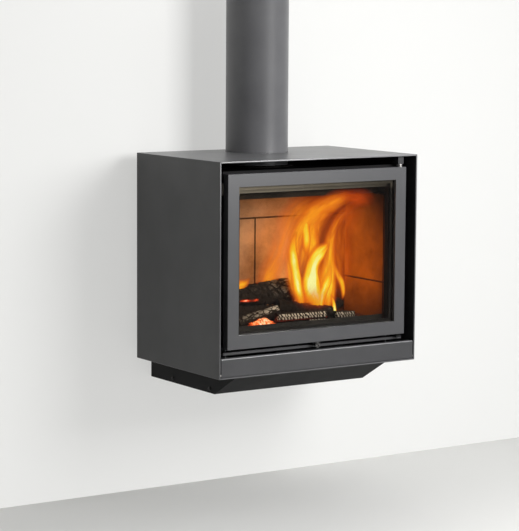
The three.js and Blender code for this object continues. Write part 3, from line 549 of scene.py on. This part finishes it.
# A folded, cast or pressed piece as the frame has it, with its sharp edges rounded as on the real one. The
# corner attribute brokenEdge is 1 on the marked edges: on bricks they are sooted joints, on enamel they are
# drawn paler as worn paint and a painted highlight.
def softEdged(node, kind):
    mesh = bmesh.new()
    mesh.from_mesh(nodes[node].data)
    bmesh.ops.remove_doubles(mesh, verts=mesh.verts, dist=edgeRules["mergeWithin"] * mm)
    bmesh.ops.dissolve_limit(mesh, angle_limit=math.radians(edgeRules["flatWithin"]), verts=mesh.verts,
                             edges=mesh.edges)
    if "cutBelow" in kind:
        trimFoot(mesh, kind["cutBelow"])
    fold = kind.get("fold")
    if fold:
        bend = [edge for edge in mesh.edges if all(onFold(vert.co, fold) for vert in edge.verts)]
        roundEdges(mesh, bend, fold["radius"], edgeRules["foldSteps"])
    corners = [edge for edge in mesh.edges if isSharp(edge, edgeRules["sharpFrom"])]
    strips = set(roundEdges(mesh, corners, kind["edge"], edgeRules["steps"])["faces"])
    broken = mesh.loops.layers.float.new("brokenEdge")
    for face in mesh.faces:
        centre = face.calc_center_median() / mm
        # Marked edges of enamel are drawn paler: worn paint, and a painted highlight.
        rubbed = face in strips
        if "rimY" in kind:
            rubbed = rubbed or (abs(face.normal.y) > 0.9 and centre.y < kind["rimY"])
        if fold:
            rubbed = centre.y < fold["y"] + fold["radius"] and centre.z > fold["z"] - fold["radius"]
        face.smooth = rubbed or face in strips
        for loop in face.loops:
            loop[broken] = 1.0 if rubbed else 0.0
    finishPiece(pieceNameOf(node), mesh, finishOf(node), nodes[node]["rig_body"], [node])


for kind in brokenEdges.values():
    for node in kind["nodes"]:
        softEdged(node, kind)
print("edges broken on", sum(len(kind["nodes"]) for kind in brokenEdges.values()), "pieces")


# The flue pipe: one profile of (radius, height) in mm, spun round the pipe's axis.
flue = {"y": -168, "outer": 92, "wall": 2, "footEdge": 0.4, "socket": 48, "socketOuter": 94.4, "flare": 6,
        "flareStart": (0.8, 2.2), "flareEnd": (0.7, 1.6), "lip": 1.4, "sides": 96}


def fluePipe():
    low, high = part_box("flue_pipe")
    foot, top = low.z / mm, high.z / mm
    outer, inner, lip, footEdge = flue["outer"], flue["outer"] - flue["wall"], flue["lip"], flue["footEdge"]
    wide, wideInner = flue["socketOuter"], flue["socketOuter"] - flue["wall"]
    neck = top - flue["socket"]
    shoulder = neck - flue["flare"]
    (startOut, startUp), (endIn, endDown) = flue["flareStart"], flue["flareEnd"]
    profile = [
        (inner, foot), (outer - footEdge, foot), (outer, foot + footEdge), (outer, shoulder),
        (outer + startOut, shoulder + startUp), (wide - endIn, neck - endDown), (wide, neck),
        (wide, top - lip), (wide - lip / 2, top), (wideInner, top - lip / 2), (wideInner, neck),
        (inner, shoulder),
    ]
    mesh = bmesh.new()
    ring = [mesh.verts.new((r * mm, flue["y"] * mm, z * mm)) for r, z in profile]
    edges = [mesh.edges.new((ring[i], ring[(i + 1) % len(ring)])) for i in range(len(ring))]
    bmesh.ops.spin(mesh, geom=ring + edges, cent=(0, flue["y"] * mm, 0), axis=(0, 0, 1), angle=2 * math.pi,
                   steps=flue["sides"], use_merge=True)
    bmesh.ops.remove_doubles(mesh, verts=mesh.verts, dist=0.005 * mm)
    bmesh.ops.recalc_face_normals(mesh, faces=mesh.faces)
    shadeSmooth(mesh, 35)
    finishPiece("fluePipe", mesh, finishOf("flue_pipe"), "root", ["flue_pipe"])


fluePipe()
print("flue pipe made")


# Button-head screws with a hexagon socket, lying along X in the console's sides.
screwLook = {"sides": 24, "head": 2.6, "domed": 0.9, "rimShare": 0.3, "socketAcross": 4.0,
             "socketDepth": 1.4, "shaftSides": 16, "shaftRadius": 3, "shaftLength": 8, "shaftAt": -5.0}


def highestFace(mesh):
    return max(mesh.faces, key=lambda face: face.calc_center_median().z)


def consoleScrew(node):
    low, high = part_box(node)
    centre = (low + high) / 2
    radius = (high.z - low.z) / 2
    outwards = 1 if centre.x > 0 else -1
    head, shaft = screwLook["head"] * mm, screwLook["shaftRadius"] * mm
    mesh = bmesh.new()
    bmesh.ops.create_cone(mesh, cap_ends=True, segments=screwLook["sides"], radius1=radius, radius2=radius,
                          depth=head)
    bmesh.ops.bevel(mesh, geom=list(highestFace(mesh).edges), offset=screwLook["domed"] * mm, segments=3,
                    profile=0.5, affect="EDGES", material=-1)
    top = highestFace(mesh)
    bmesh.ops.inset_region(mesh, faces=[top], thickness=radius * screwLook["rimShare"])
    for vert in top.verts:
        angle = math.atan2(vert.co.y, vert.co.x)
        reach = screwLook["socketAcross"] / 2 * mm / math.cos((angle % (math.pi / 3)) - math.pi / 6)
        vert.co.x = reach * math.cos(angle)
        vert.co.y = reach * math.sin(angle)
    for vert in extrudeFaces(mesh, [top]):
        vert.co.z -= screwLook["socketDepth"] * mm
    bmesh.ops.delete(mesh, geom=[top], context="FACES_ONLY")
    bar = bmesh.ops.create_cone(mesh, cap_ends=True, segments=screwLook["shaftSides"], radius1=shaft,
                                radius2=shaft, depth=screwLook["shaftLength"] * mm)
    bmesh.ops.translate(mesh, verts=bar["verts"], vec=(0, 0, screwLook["shaftAt"] * mm))
    bmesh.ops.recalc_face_normals(mesh, faces=mesh.faces)
    outerFace = high.x if outwards > 0 else low.x
    turn = Matrix.Rotation(math.radians(90 * outwards), 4, "Y")
    place = Matrix.Translation((outerFace - outwards * head / 2, centre.y, centre.z)) @ turn
    bmesh.ops.transform(mesh, matrix=place, verts=mesh.verts)
    shadeSmooth(mesh, 40)
    finishPiece(pieceNameOf(node), mesh, blackSteel, "root", [node])


for side in ("left", "right"):
    for end in ("rear", "front"):
        consoleScrew("console_screw_" + side + "_" + end)
print("console screws made")


# Logs, embers and ash

def smoothStep(low, high, value):
    share = max(0.0, min(1.0, (value - low) / (high - low)))
    return share * share * (3 - 2 * share)


# Each log runs between two points in mm. Its cell is a block of char round and along it, crack is how deep
# the cracks are, ash is its share at either end, and seam is the glowing crack as (X from, X to, Z).
logs = {
    "backLog": {"node": "log_back", "from": (-236, -322, 197), "to": (8, -326, 208), "radius": 32,
                "taper": 1.3, "seed": 1.3, "cell": (17, 26), "crack": 3.6, "ash": (0.12, 0.34),
                "seam": (-178, -112, 191)},
    "leaningLog": {"node": "log_leaning", "from": (-60, -366, 168), "to": (106, -402, 149), "radius": 27,
                   "taper": 0.68, "seed": 2.2, "cell": (11, 15), "crack": 2.6, "ash": (0.1, 0.05)},
    "frontLog": {"node": "log_front", "from": (-98, -420, 148), "to": (72, -421, 146), "radius": 12.5,
                 "taper": 0.95, "seed": 4.1, "cell": (9, 8), "crack": 1.5, "ash": (1.0, 0.85), "teeth": 10.4,
                 "underGlow": 0.1},
    "sideLog": {"node": "log_side", "from": (132, -338, 152), "to": (212, -292, 154), "radius": 18,
                "taper": 0.9, "seed": 0.4, "cell": (10, 12), "crack": 2.0, "ash": (0.2, 0.2)},
    "lowLog": {"from": (-226, -340, 158), "to": (-22, -350, 150), "radius": 25,
               "taper": 0.9, "seed": 7.7, "cell": (12, 18), "crack": 2.8, "ash": (0.1, 0.05)},
    "ashBranch": {"from": (-214, -398, 140), "to": (-80, -403, 169), "radius": 13,
                  "taper": 0.75, "seed": 5.2, "cell": (12, 16), "crack": 1.6, "ash": (0.3, 0.75)},
    "splinter": {"from": (150, -356, 132), "to": (164, -340, 204), "radius": 11,
                 "taper": 0.6, "seed": 6.1, "cell": (7, 11), "crack": 1.6, "ash": (0.1, 0.3)},
    "stub": {"from": (104, -424, 141), "to": (172, -422, 138), "radius": 12,
             "taper": 0.9, "seed": 3.3, "cell": (8, 8), "crack": 1.4, "ash": (0.7, 0.55), "teeth": 10.4},
    "chip": {"from": (14, -428, 128), "to": (68, -427, 127), "radius": 6,
             "taper": 0.9, "seed": 8.3, "cell": (6, 6), "crack": 1.0, "ash": (0.85, 0.9), "teeth": 10.4},
}


charRules = {"sides": 72, "step": 1.9, "capRings": 4, "crackShare": 0.22, "block": 9, "patch": 24,
             "bend": 0.12}
teethRules = {"step": 0.9, "slant": 0.5, "uneven": 14, "rowEnds": (10.5, 8.5), "raised": 0.8}
seamRules = {"lobes": 9.5, "wave": 7, "wander": 0.8, "lean": 2, "halfWidth": 2.3}


# How white it is at z along the log and height round it: two rows of slanting teeth on the side that faces
# the door, as a log has that has burnt across its grain.
def toothAt(z, height, pitch, seed):
    row = 1 if height > 0 else -1
    uneven = 0.5 * noise.noise(Vector((z / (teethRules["uneven"] * mm), row, seed)))
    phase = (z + teethRules["slant"] * height) / pitch + 0.25 * row + uneven
    reach = abs(height) / mm
    inRow = smoothStep(0.0, 1.0, reach) * smoothStep(*teethRules["rowEnds"], reach)
    return smoothStep(0.2, 0.3, abs(phase % 1.0 - 0.5)) * inRow


def seamGlow(point, seam):
    start, end, height = (value * mm for value in seam)
    share = (point.x - start) / (end - start)
    ends = smoothStep(0.0, 0.05, share) * smoothStep(1.0, 0.8, share)
    lobes = ends * (0.62 - 0.38 * math.cos(seamRules["lobes"] * share + 0.4))
    wave = seamRules["wander"] * mm * math.sin(point.x / (seamRules["wave"] * mm))
    off = point.z - height - wave + seamRules["lean"] * mm * (share - 0.5)
    return lobes * math.exp(-(off / (seamRules["halfWidth"] * mm)) ** 2)


# Char blocks: a cell pattern on the round of the log, sunk along the cracks between the blocks.
def charredLog(name, log):
    start = Vector(log["from"]) * mm
    run = Vector(log["to"]) * mm - start
    length, radius = run.length, log["radius"] * mm
    pitch = log.get("teeth", 0) * mm
    mesh = bmesh.new()
    sides = charRules["sides"]
    bmesh.ops.create_cone(mesh, cap_ends=True, cap_tris=False, segments=sides, radius1=radius,
                          radius2=radius * log["taper"], depth=length)
    lengthwise = [e for e in mesh.edges if abs(e.verts[0].co.z - e.verts[1].co.z) > 0.5 * length]
    step = (teethRules if pitch else charRules)["step"] * mm
    bmesh.ops.subdivide_edges(mesh, edges=lengthwise, cuts=int(length / step), use_grid_fill=True)
    caps = [face for face in mesh.faces if len(face.verts) == sides]
    for _ in range(charRules["capRings"]):
        bmesh.ops.inset_region(mesh, faces=caps, thickness=radius * 0.2, use_even_offset=True)
    ash = mesh.verts.layers.float.new("ash")
    glow = mesh.verts.layers.float.new("glow")
    around, along = log["cell"][0] * mm, log["cell"][1] * mm
    toPlace = Matrix.Translation(start + run / 2) @ run.to_track_quat("Z", "Y").to_matrix().to_4x4()
    turn = toPlace.to_3x3()
    seed = log["seed"]
    for vert in mesh.verts:
        x, y, z = vert.co
        angle = math.atan2(y, x)
        outward = Vector((math.cos(angle), math.sin(angle), 0))
        onBark = Vector((outward.x * radius / around, outward.y * radius / around, z / along + seed))
        near = noise.voronoi(onBark)[0]
        crack = 1 - smoothStep(0.0, charRules["crackShare"], near[1] - near[0])
        block = noise.noise(Vector((x, y, z)) / (charRules["block"] * mm) + Vector((seed, 0, 0)))
        share = math.hypot(x, y) / radius
        swell = 0.09 * math.sin(2 * angle + seed) + 0.05 * math.sin(3 * angle + 9 * z / length + seed)
        rough = block * 0.05 - 0.03 - crack * log["crack"] * mm / radius
        facing = turn @ outward
        point = toPlace @ vert.co
        endShare = z / length + 0.5
        ashHere = log["ash"][0] + (log["ash"][1] - log["ash"][0]) * endShare
        patch = 0.5 + 0.5 * noise.noise(point / (charRules["patch"] * mm))
        if pitch:
            tooth = toothAt(z, math.atan2(facing.z, -facing.y) * radius, pitch, seed)
            white = tooth * ashHere * (0.7 + 0.5 * patch)
            vert.co += outward * (teethRules["raised"] * mm * tooth)
        else:
            lit = smoothStep(-0.1, 0.8, facing.z * 0.75 - facing.y * 0.65)
            white = lit * ashHere * (1 - crack) * (0.4 + 1.2 * patch)
        vert.co += outward * radius * share * (swell + rough)
        vert.co.x += charRules["bend"] * radius * math.cos(4 * z / length + seed)
        vert[ash] = white
        if "seam" in log:
            vert[glow] = seamGlow(point, log["seam"]) if facing.y < 0 else 0.0
        elif "underGlow" in log:
            below = smoothStep(-0.5, -0.9, facing.z) * smoothStep(0.9, 0.3, endShare)
            vert[glow] = log["underGlow"] * below * (1 - crack)
    bmesh.ops.recalc_face_normals(mesh, faces=mesh.faces)
    bmesh.ops.transform(mesh, matrix=toPlace, verts=mesh.verts)
    shadeSmooth(mesh, 70)
    finishPiece(name, mesh, oak, "root", [log["node"]] if "node" in log else [])


for logName, log in logs.items():
    charredLog(logName, log)
print("logs charred:", len(logs))


# The bed lies between x and y, heaped round one place and hot round another.
emberBed = {"x": (-222, 202), "y": (-420, -270), "depth": 6, "heap": (-136, -413), "heapSize": (60, 40),
            "heapHeight": 37, "hot": (-142, -418), "hotSize": (70, 44), "lumps": 420, "size": (3.0, 7.0),
            "heapShare": 0.5, "sparkShare": 0.1, "margin": 8, "frontMargin": 2, "seed": 11}


def hillShare(x, y, centre, size):
    across = (x - centre[0]) / size[0]
    deep = (y - centre[1]) / size[1]
    return math.exp(-5 * (across * across + deep * deep))


def bedHeight(x, y):
    (left, right), (front, back) = emberBed["x"], emberBed["y"]
    u = (x - left) / (right - left)
    v = (y - front) / (back - front)
    dome = max(0.0, math.sin(math.pi * u) * math.sin(math.pi * min(1.0, max(0.0, v)))) ** 0.35
    heap = emberBed["heapHeight"] * hillShare(x, y, emberBed["heap"], emberBed["heapSize"])
    return dome * (emberBed["depth"] + heap)


# The ash lies in a shallow bank, a little under the lumps of charcoal.
def ashBank():
    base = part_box("ember_bed")[0].z / mm
    (left, right), (front, back) = emberBed["x"], emberBed["y"]
    mesh = bmesh.new()
    bmesh.ops.create_grid(mesh, x_segments=120, y_segments=48, size=0.5)
    for vert in mesh.verts:
        x = left + (vert.co.x + 0.5) * (right - left)
        y = front + (vert.co.y + 0.5) * (back - front)
        drift = noise.noise(Vector((x, y, 0)) / 11) * 1.6 + noise.noise(Vector((x, y, 4)) / 3.5) * 0.7
        vert.co = Vector((x, y, base + 1.2 + max(0.0, bedHeight(x, y) - 1.0 + drift))) * mm
    for vert in extrudeFaces(mesh, list(mesh.faces)):
        vert.co.z = base * mm
    bmesh.ops.recalc_face_normals(mesh, faces=mesh.faces)
    shadeSmooth(mesh, 50)
    finishPiece("ashBank", mesh, ashPowder, "root", ["ember_bed"])


# Each lump is a ball, squared off and knocked out of true. The ones in the hot bank glow.
def charcoalLumps():
    dice = random.Random(emberBed["seed"])
    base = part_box("ember_bed")[0].z / mm
    (left, right), (front, back) = emberBed["x"], emberBed["y"]
    margin = emberBed["margin"]
    mesh = bmesh.new()
    burn = mesh.verts.layers.float.new("burn")
    for _ in range(emberBed["lumps"]):
        if dice.random() < emberBed["heapShare"]:
            x = dice.gauss(emberBed["heap"][0], emberBed["heapSize"][0] * 0.3)
            y = dice.gauss(emberBed["heap"][1], emberBed["heapSize"][1] * 0.25)
        else:
            x = dice.uniform(left, right)
            y = dice.uniform(front, back)
        x = max(left + margin, min(right - margin, x))
        y = max(front + emberBed["frontMargin"], min(back - margin, y))
        size = dice.uniform(*emberBed["size"])
        verts = bmesh.ops.create_icosphere(mesh, subdivisions=2, radius=size * mm)["verts"]
        stretch = Vector((dice.uniform(0.9, 1.5), dice.uniform(0.7, 1.2), dice.uniform(0.6, 1.0)))
        spin = Matrix.Rotation(dice.uniform(0, math.pi), 3, "Z")
        spin = spin @ Matrix.Rotation(dice.uniform(-0.6, 0.6), 3, "X")
        seed = dice.uniform(0, 50)
        centre = Vector((x, y, base + max(0.7 * size, bedHeight(x, y) + 0.3 * size))) * mm
        hot = min(1.0, hillShare(x, y, emberBed["hot"], emberBed["hotSize"]) * 1.7) * dice.uniform(0.7, 1.1)
        if dice.random() < emberBed["sparkShare"]:
            hot = max(hot, dice.uniform(0.2, 0.45))
        for vert in verts:
            knock = 1 + 0.4 * noise.noise(vert.co / (size * mm) + Vector((seed, 0, 0)))
            square = 0.8 / max(abs(value) for value in vert.co) * size * mm
            shape = vert.co * (0.5 + 0.5 * square) * knock
            vert.co = centre + spin @ Vector([shape[i] * stretch[i] for i in range(3)])
            vert[burn] = hot
    bmesh.ops.recalc_face_normals(mesh, faces=mesh.faces)
    shadeSmooth(mesh, 40)
    finishPiece("charcoalLumps", mesh, charcoal, "root", ["ember_bed"])


ashBank()
charcoalLumps()
print("fire bed laid")


# Each tongue of flame follows its spine, in mm: (x, y, z, half width, burn) from its root to its tip.
flames = {
    "hazeFlame": [(150, -364, 176, 22, 0.08), (152, -364, 246, 44, 0.4), (150, -364, 320, 56, 0.44),
                  (162, -366, 390, 56, 0.38), (188, -374, 440, 48, 0.28), (214, -392, 470, 34, 0.05)],
    "barkFlame": [(-92, -318, 222, 26, 0.3), (-64, -318, 252, 36, 0.5), (-26, -318, 304, 38, 0.44),
                  (0, -318, 360, 42, 0.4), (18, -320, 412, 46, 0.44), (42, -330, 448, 42, 0.42),
                  (84, -360, 474, 28, 0.2), (112, -380, 486, 14, 0.0)],
    "coreFill": [(22, -370, 226, 16, 0.05), (20, -370, 262, 26, 0.26), (24, -370, 300, 38, 0.44),
                 (32, -370, 350, 46, 0.52), (50, -374, 404, 44, 0.5), (86, -384, 444, 34, 0.42),
                 (130, -396, 472, 22, 0.2), (160, -402, 486, 12, 0.0)],
    "baseFlame": [(58, -380, 150, 48, 0.34), (62, -380, 186, 62, 0.62), (70, -380, 226, 52, 0.56),
                  (86, -380, 270, 40, 0.44), (96, -380, 330, 26, 0.0)],
    "midBody": [(47, -376, 300, 20, 0.3), (46, -376, 338, 28, 0.6), (44, -376, 378, 29, 0.6),
                (54, -378, 412, 29, 0.58), (80, -384, 438, 28, 0.56), (114, -392, 460, 25, 0.5),
                (152, -402, 479, 18, 0.38), (190, -408, 490, 10, 0.06)],
    "leftBody": [(16, -382, 158, 18, 0.25), (6, -382, 205, 25, 0.62), (-11, -382, 250, 25, 0.72),
                 (-17, -382, 292, 24, 0.7), (-13, -382, 337, 25, 0.66), (0, -382, 381, 26, 0.62),
                 (22, -384, 418, 27, 0.6), (52, -390, 448, 28, 0.56), (92, -398, 468, 25, 0.5),
                 (134, -406, 484, 20, 0.38), (172, -410, 492, 12, 0.08)],
    "leftCore": [(14, -392, 166, 10, 0.45), (3, -392, 202, 15, 0.9), (-8, -392, 236, 16, 0.98),
                 (-18, -392, 281, 15, 0.94), (-24, -392, 317, 16, 0.98), (-22, -392, 350, 11, 0.8),
                 (-12, -392, 388, 6, 0.2)],
    "innerCore": [(29, -388, 312, 6, 0.1), (25, -388, 348, 13, 0.76), (23, -388, 378, 14, 0.82),
                  (24, -388, 406, 13, 0.78), (32, -390, 432, 10, 0.62), (46, -392, 450, 6, 0.1)],
    "heartFlame": [(58, -398, 148, 14, 0.5), (52, -398, 184, 26, 0.9), (42, -398, 212, 30, 1.1),
                   (38, -398, 242, 28, 1.2), (40, -398, 270, 22, 1.14), (48, -398, 300, 22, 1.02),
                   (64, -398, 325, 22, 0.94), (85, -398, 340, 14, 0.64), (102, -398, 354, 6, 0.05)],
    "rightBody": [(94, -386, 146, 24, 0.35), (102, -386, 200, 31, 0.78), (106, -386, 250, 28, 0.76),
                  (107, -386, 300, 24, 0.66), (107, -386, 344, 20, 0.6), (114, -388, 380, 16, 0.48),
                  (132, -392, 412, 15, 0.38), (158, -398, 442, 15, 0.28), (184, -404, 464, 12, 0.04)],
    "rightCore": [(68, -402, 144, 8, 0.55), (72, -402, 192, 13, 1.04), (80, -402, 220, 15, 0.94),
                  (92, -402, 242, 14, 0.8), (100, -402, 270, 9, 0.5), (101, -402, 300, 5, 0.1)],
    "rightWisp": [(168, -372, 174, 4, 0.2), (170, -372, 194, 8, 0.64), (165, -372, 225, 10, 0.7),
                  (152, -372, 248, 10, 0.64), (136, -372, 274, 10, 0.54), (122, -372, 304, 6, 0.15)],
    "frontLick": [(108, -414, 131, 3, 0.6), (112, -414, 144, 6, 1.1), (110, -414, 160, 6, 1.1),
                  (105, -412, 180, 6, 0.7), (98, -408, 204, 4, 0.1)],
    "leftLick": [(-182, -332, 224, 9, 0.5), (-164, -332, 233, 15, 0.68), (-147, -332, 241, 12, 0.6),
                 (-135, -332, 249, 7, 0.34), (-127, -332, 256, 3, 0.0)],
    "redTip": [(96, -408, 478, 10, 0.0), (132, -408, 481, 18, 0.26), (164, -408, 480, 24, 0.42),
               (194, -408, 476, 27, 0.44), (222, -408, 470, 25, 0.3), (246, -408, 462, 20, 0.12),
               (262, -408, 454, 12, 0.0)],
    "rootVeil": [(24, -428, 154, 46, 0.0), (24, -428, 170, 56, 0.2), (26, -428, 186, 60, 0.42),
                 (30, -428, 206, 54, 0.42), (36, -428, 240, 38, 0.0)],
}
# Flames that burn redder than the rest.
redderFlames = {"redTip": 0.35, "hazeFlame": 0.7, "rootVeil": 0.9}
flameShape = {"across": 14, "along": 72, "spread": 1.35, "ripple": 0.12, "waves": 8, "wavePhase": 1.7,
              "bulge": 0.4, "deepest": 10.0, "edgeFade": 1.8, "uvAcross": 0.02, "uvAlong": 0.01,
              "uvShift": 0.37, "tangentStep": 0.02}


# A smooth curve through the spine's points. Every value of a point runs along it alike.
def alongSpine(points, share):
    last = len(points) - 1
    i = min(int(share * last), last - 1)
    t = share * last - i
    near = (points[max(i - 1, 0)], points[i], points[i + 1], points[min(i + 2, last)])
    return [0.5 * (2 * q + (r - p) * t + (2 * p - 5 * q + 4 * r - s) * t ** 2
                   + (3 * q - p - 3 * r + s) * t ** 3) for p, q, r, s in zip(*near)]


def flameTongue(name, spine, number):
    look = flameShape
    mesh = bmesh.new()
    bmesh.ops.create_grid(mesh, x_segments=look["across"], y_segments=look["along"], size=0.5)
    burn = mesh.verts.layers.float.new("burn")
    warmth = mesh.verts.layers.float.new("warmth")
    uv = mesh.loops.layers.uv.new("tongue")
    length = sum((Vector(b[:3]) - Vector(a[:3])).length for a, b in zip(spine, spine[1:]))
    widest = max(point[3] for point in spine)
    for face in mesh.faces:
        face.smooth = True
        for loop in face.loops:
            across, share = loop.vert.co.x, loop.vert.co.y + 0.5
            loop[uv].uv = (across * widest * look["uvAcross"] + number,
                           share * length * look["uvAlong"] + number * look["uvShift"])
    for vert in mesh.verts:
        across, share = vert.co.x * 2, vert.co.y + 0.5
        x, y, z, half, strength = alongSpine(spine, share)
        ahead = Vector(alongSpine(spine, min(share + look["tangentStep"], 1.0))[:3])
        behind = Vector(alongSpine(spine, max(share - look["tangentStep"], 0.0))[:3])
        tangent = (ahead - behind).normalized()
        sideways = Vector((tangent.z, 0, -tangent.x)).normalized()
        ripple = look["ripple"] * half * math.sin(look["waves"] * share + number * look["wavePhase"])
        bulge = -min(look["deepest"], look["bulge"] * half) * (1 - across * across)
        aside = across * half * look["spread"] + ripple
        vert.co = (Vector((x, y + bulge, z)) + sideways * aside) * mm
        vert[burn] = max(0.0, strength) * (1 - abs(across) ** look["edgeFade"])
        vert[warmth] = redderFlames.get(name, 1.0)
    finishPiece(name, mesh, flameGas, "root")


for number, (flameName, spine) in enumerate(flames.items()):
    flameTongue(flameName, spine, number)
print("flames lit:", len(flames))


# Floor, wall, light and camera

stageLook = {"wall": "#E8E8E6", "floor": "#DCDCDA", "farFloor": "#686868", "darkens": (2.6, 4.2),
             "floorHalf": 20.0, "wallHalf": 9.0, "floorZ": -0.41, "wallY": 0.001, "wallGlow": 0.56,
             "wallTone": "#F4F4F2"}


# Matt emulsion paint, rolled on: pale, even and without a sheen.
def rolledEmulsion(name, hexText):
    material, add, shader, place = newMaterial(name)
    setNode(shader, {"Base Color": hexText, "Roughness": 0.9, "Specular IOR Level": 0.1})
    return material, add, shader, place


def stagePlane(name, material, half, matrix):
    mesh = bmesh.new()
    bmesh.ops.create_grid(mesh, x_segments=1, y_segments=1, size=half, matrix=matrix)
    meshObject(name, mesh, material)


# The ground shows from its front alone, so that it doesn't hide the stove from behind or below.
def seenFromFront(material, add, surface):
    behind = add("NewGeometry").outputs["Backfacing"]
    clear = add("BsdfTransparent")
    showInstead(material, add("MixShader", {0: behind, 1: surface, 2: clear}))


# The floor is pale, but a mirrored ray finds it dark further off, as a room is that lies in shade.
def layFloor():
    material, add, shader, place = rolledEmulsion("rolledFloorPaint", stageLook["floor"])
    start, end = stageLook["darkens"]
    away = add("VectorMath", {"operation": "LENGTH", 0: place})
    far = add("MapRange", {"interpolation_type": "SMOOTHSTEP", "From Min": start, "From Max": end,
                           "Value": away})
    ray = add("LightPath")
    mirrored = add("Math", {"operation": "MULTIPLY", 0: far, 1: ray.outputs["Is Glossy Ray"]})
    colour = add("Mix", {"data_type": "RGBA", "A": stageLook["floor"], "B": stageLook["farFloor"],
                         "Factor": mirrored})
    setNode(shader, {"Base Color": colour})
    seenFromFront(material, add, shader)
    stagePlane("floor", material, stageLook["floorHalf"], Matrix.Translation((0, 0, stageLook["floorZ"])))


# What is seen of the wall is part light of its own, which keeps the shadows on it soft.
def standWall():
    material, add, shader, _ = rolledEmulsion("rolledWallPaint", stageLook["wall"])
    ray = add("LightPath")
    seen = add("Math", {"operation": "MAXIMUM", 0: ray.outputs["Is Camera Ray"],
                        1: ray.outputs["Is Glossy Ray"]})
    seenToo = add("Math", {"operation": "MAXIMUM", 0: seen, 1: ray.outputs["Is Transmission Ray"]})
    share = add("Math", {"operation": "MULTIPLY", 0: seenToo, 1: stageLook["wallGlow"]})
    glow = add("Emission", {"Color": stageLook["wallTone"]})
    seenFromFront(material, add, add("MixShader", {0: share, 1: shader, 2: glow}))
    half = stageLook["wallHalf"]
    centre = Matrix.Translation((0, stageLook["wallY"], stageLook["floorZ"] + half))
    stagePlane("wall", material, half, centre @ Matrix.Rotation(math.radians(90), 4, "X"))


softbox = {"at": (0.68, -2.3, 1.18), "towards": (0.0, -0.4, 0.4), "size": 1.0, "watts": 54}
fireLamp = {"at": (70, -350, 290), "radius": 40, "watts": 0.9, "colour": "#FFC27E"}
worldLook = {"all": 0.07, "right": 1.15, "front": 0.28}


def lights():
    data = bpy.data.lights.new("softbox", "AREA")
    data.size = softbox["size"]
    data.energy = softbox["watts"]
    lamp = addObject("softbox", data)
    lamp.location = softbox["at"]
    aim = Vector(softbox["towards"]) - Vector(softbox["at"])
    lamp.rotation_euler = aim.to_track_quat("-Z", "Y").to_euler()

    data = bpy.data.lights.new("firelight", "POINT")
    data.shadow_soft_size = fireLamp["radius"] * mm
    data.energy = fireLamp["watts"]
    data.color = linearColour(fireLamp["colour"])[:3]
    fire = addObject("firelight", data)
    fire.location = Vector(fireLamp["at"]) * mm
    for rays in ("camera", "transmission", "glossy"):
        setattr(fire, "visible_" + rays, False)

    world = bpy.data.worlds.new("softRoom")
    bpy.context.scene.world = world
    world.use_nodes = True
    world.node_tree.nodes.clear()
    add = partial(addNode, world.node_tree)
    direction = add("TexCoord").outputs["Generated"]
    parts = add("SeparateXYZ", {"Vector": direction})
    even = worldLook["all"]
    right = add("MapRange", {"To Min": even, "To Max": even + worldLook["right"],
                             "Value": parts.outputs["X"]})
    front = add("MapRange", {"From Max": -1.0, "To Max": worldLook["front"], "Value": parts.outputs["Y"]})
    level = add("Math", {"operation": "ADD", 0: right, 1: front})
    sky = add("Background", {"Color": "#FFFFFF", "Strength": level})
    add("OutputWorld", {"Surface": sky})


# The view was fitted to the photo's edges: metres, degrees, and mm for the lens and its sensor.
view = {"at": (-3.45336, -5.38772, 1.01694), "yaw": -33.5848, "down": 6.8556, "roll": 0.3673, "lens": 143.9,
        "sensor": 36, "farthest": 60}


def camera():
    data = bpy.data.cameras.new("camera")
    data.lens = view["lens"]
    data.sensor_width = view["sensor"]
    data.clip_end = view["farthest"]
    eye = addObject("camera", data)
    turns = [Matrix.Rotation(math.radians(angle), 4, axis)
             for angle, axis in ((view["yaw"], "Z"), (90 - view["down"], "X"), (view["roll"], "Z"))]
    eye.matrix_world = Matrix.Translation(view["at"]) @ turns[0] @ turns[1] @ turns[2]
    bpy.context.scene.camera = eye


layFloor()
standWall()
lights()
camera()
bpy.context.scene.view_settings.view_transform = "Standard"
# The flames lie one behind another, and light has to pass through them all.
bpy.context.scene.cycles.transparent_max_bounces = 16
print("stage, lights and camera set")
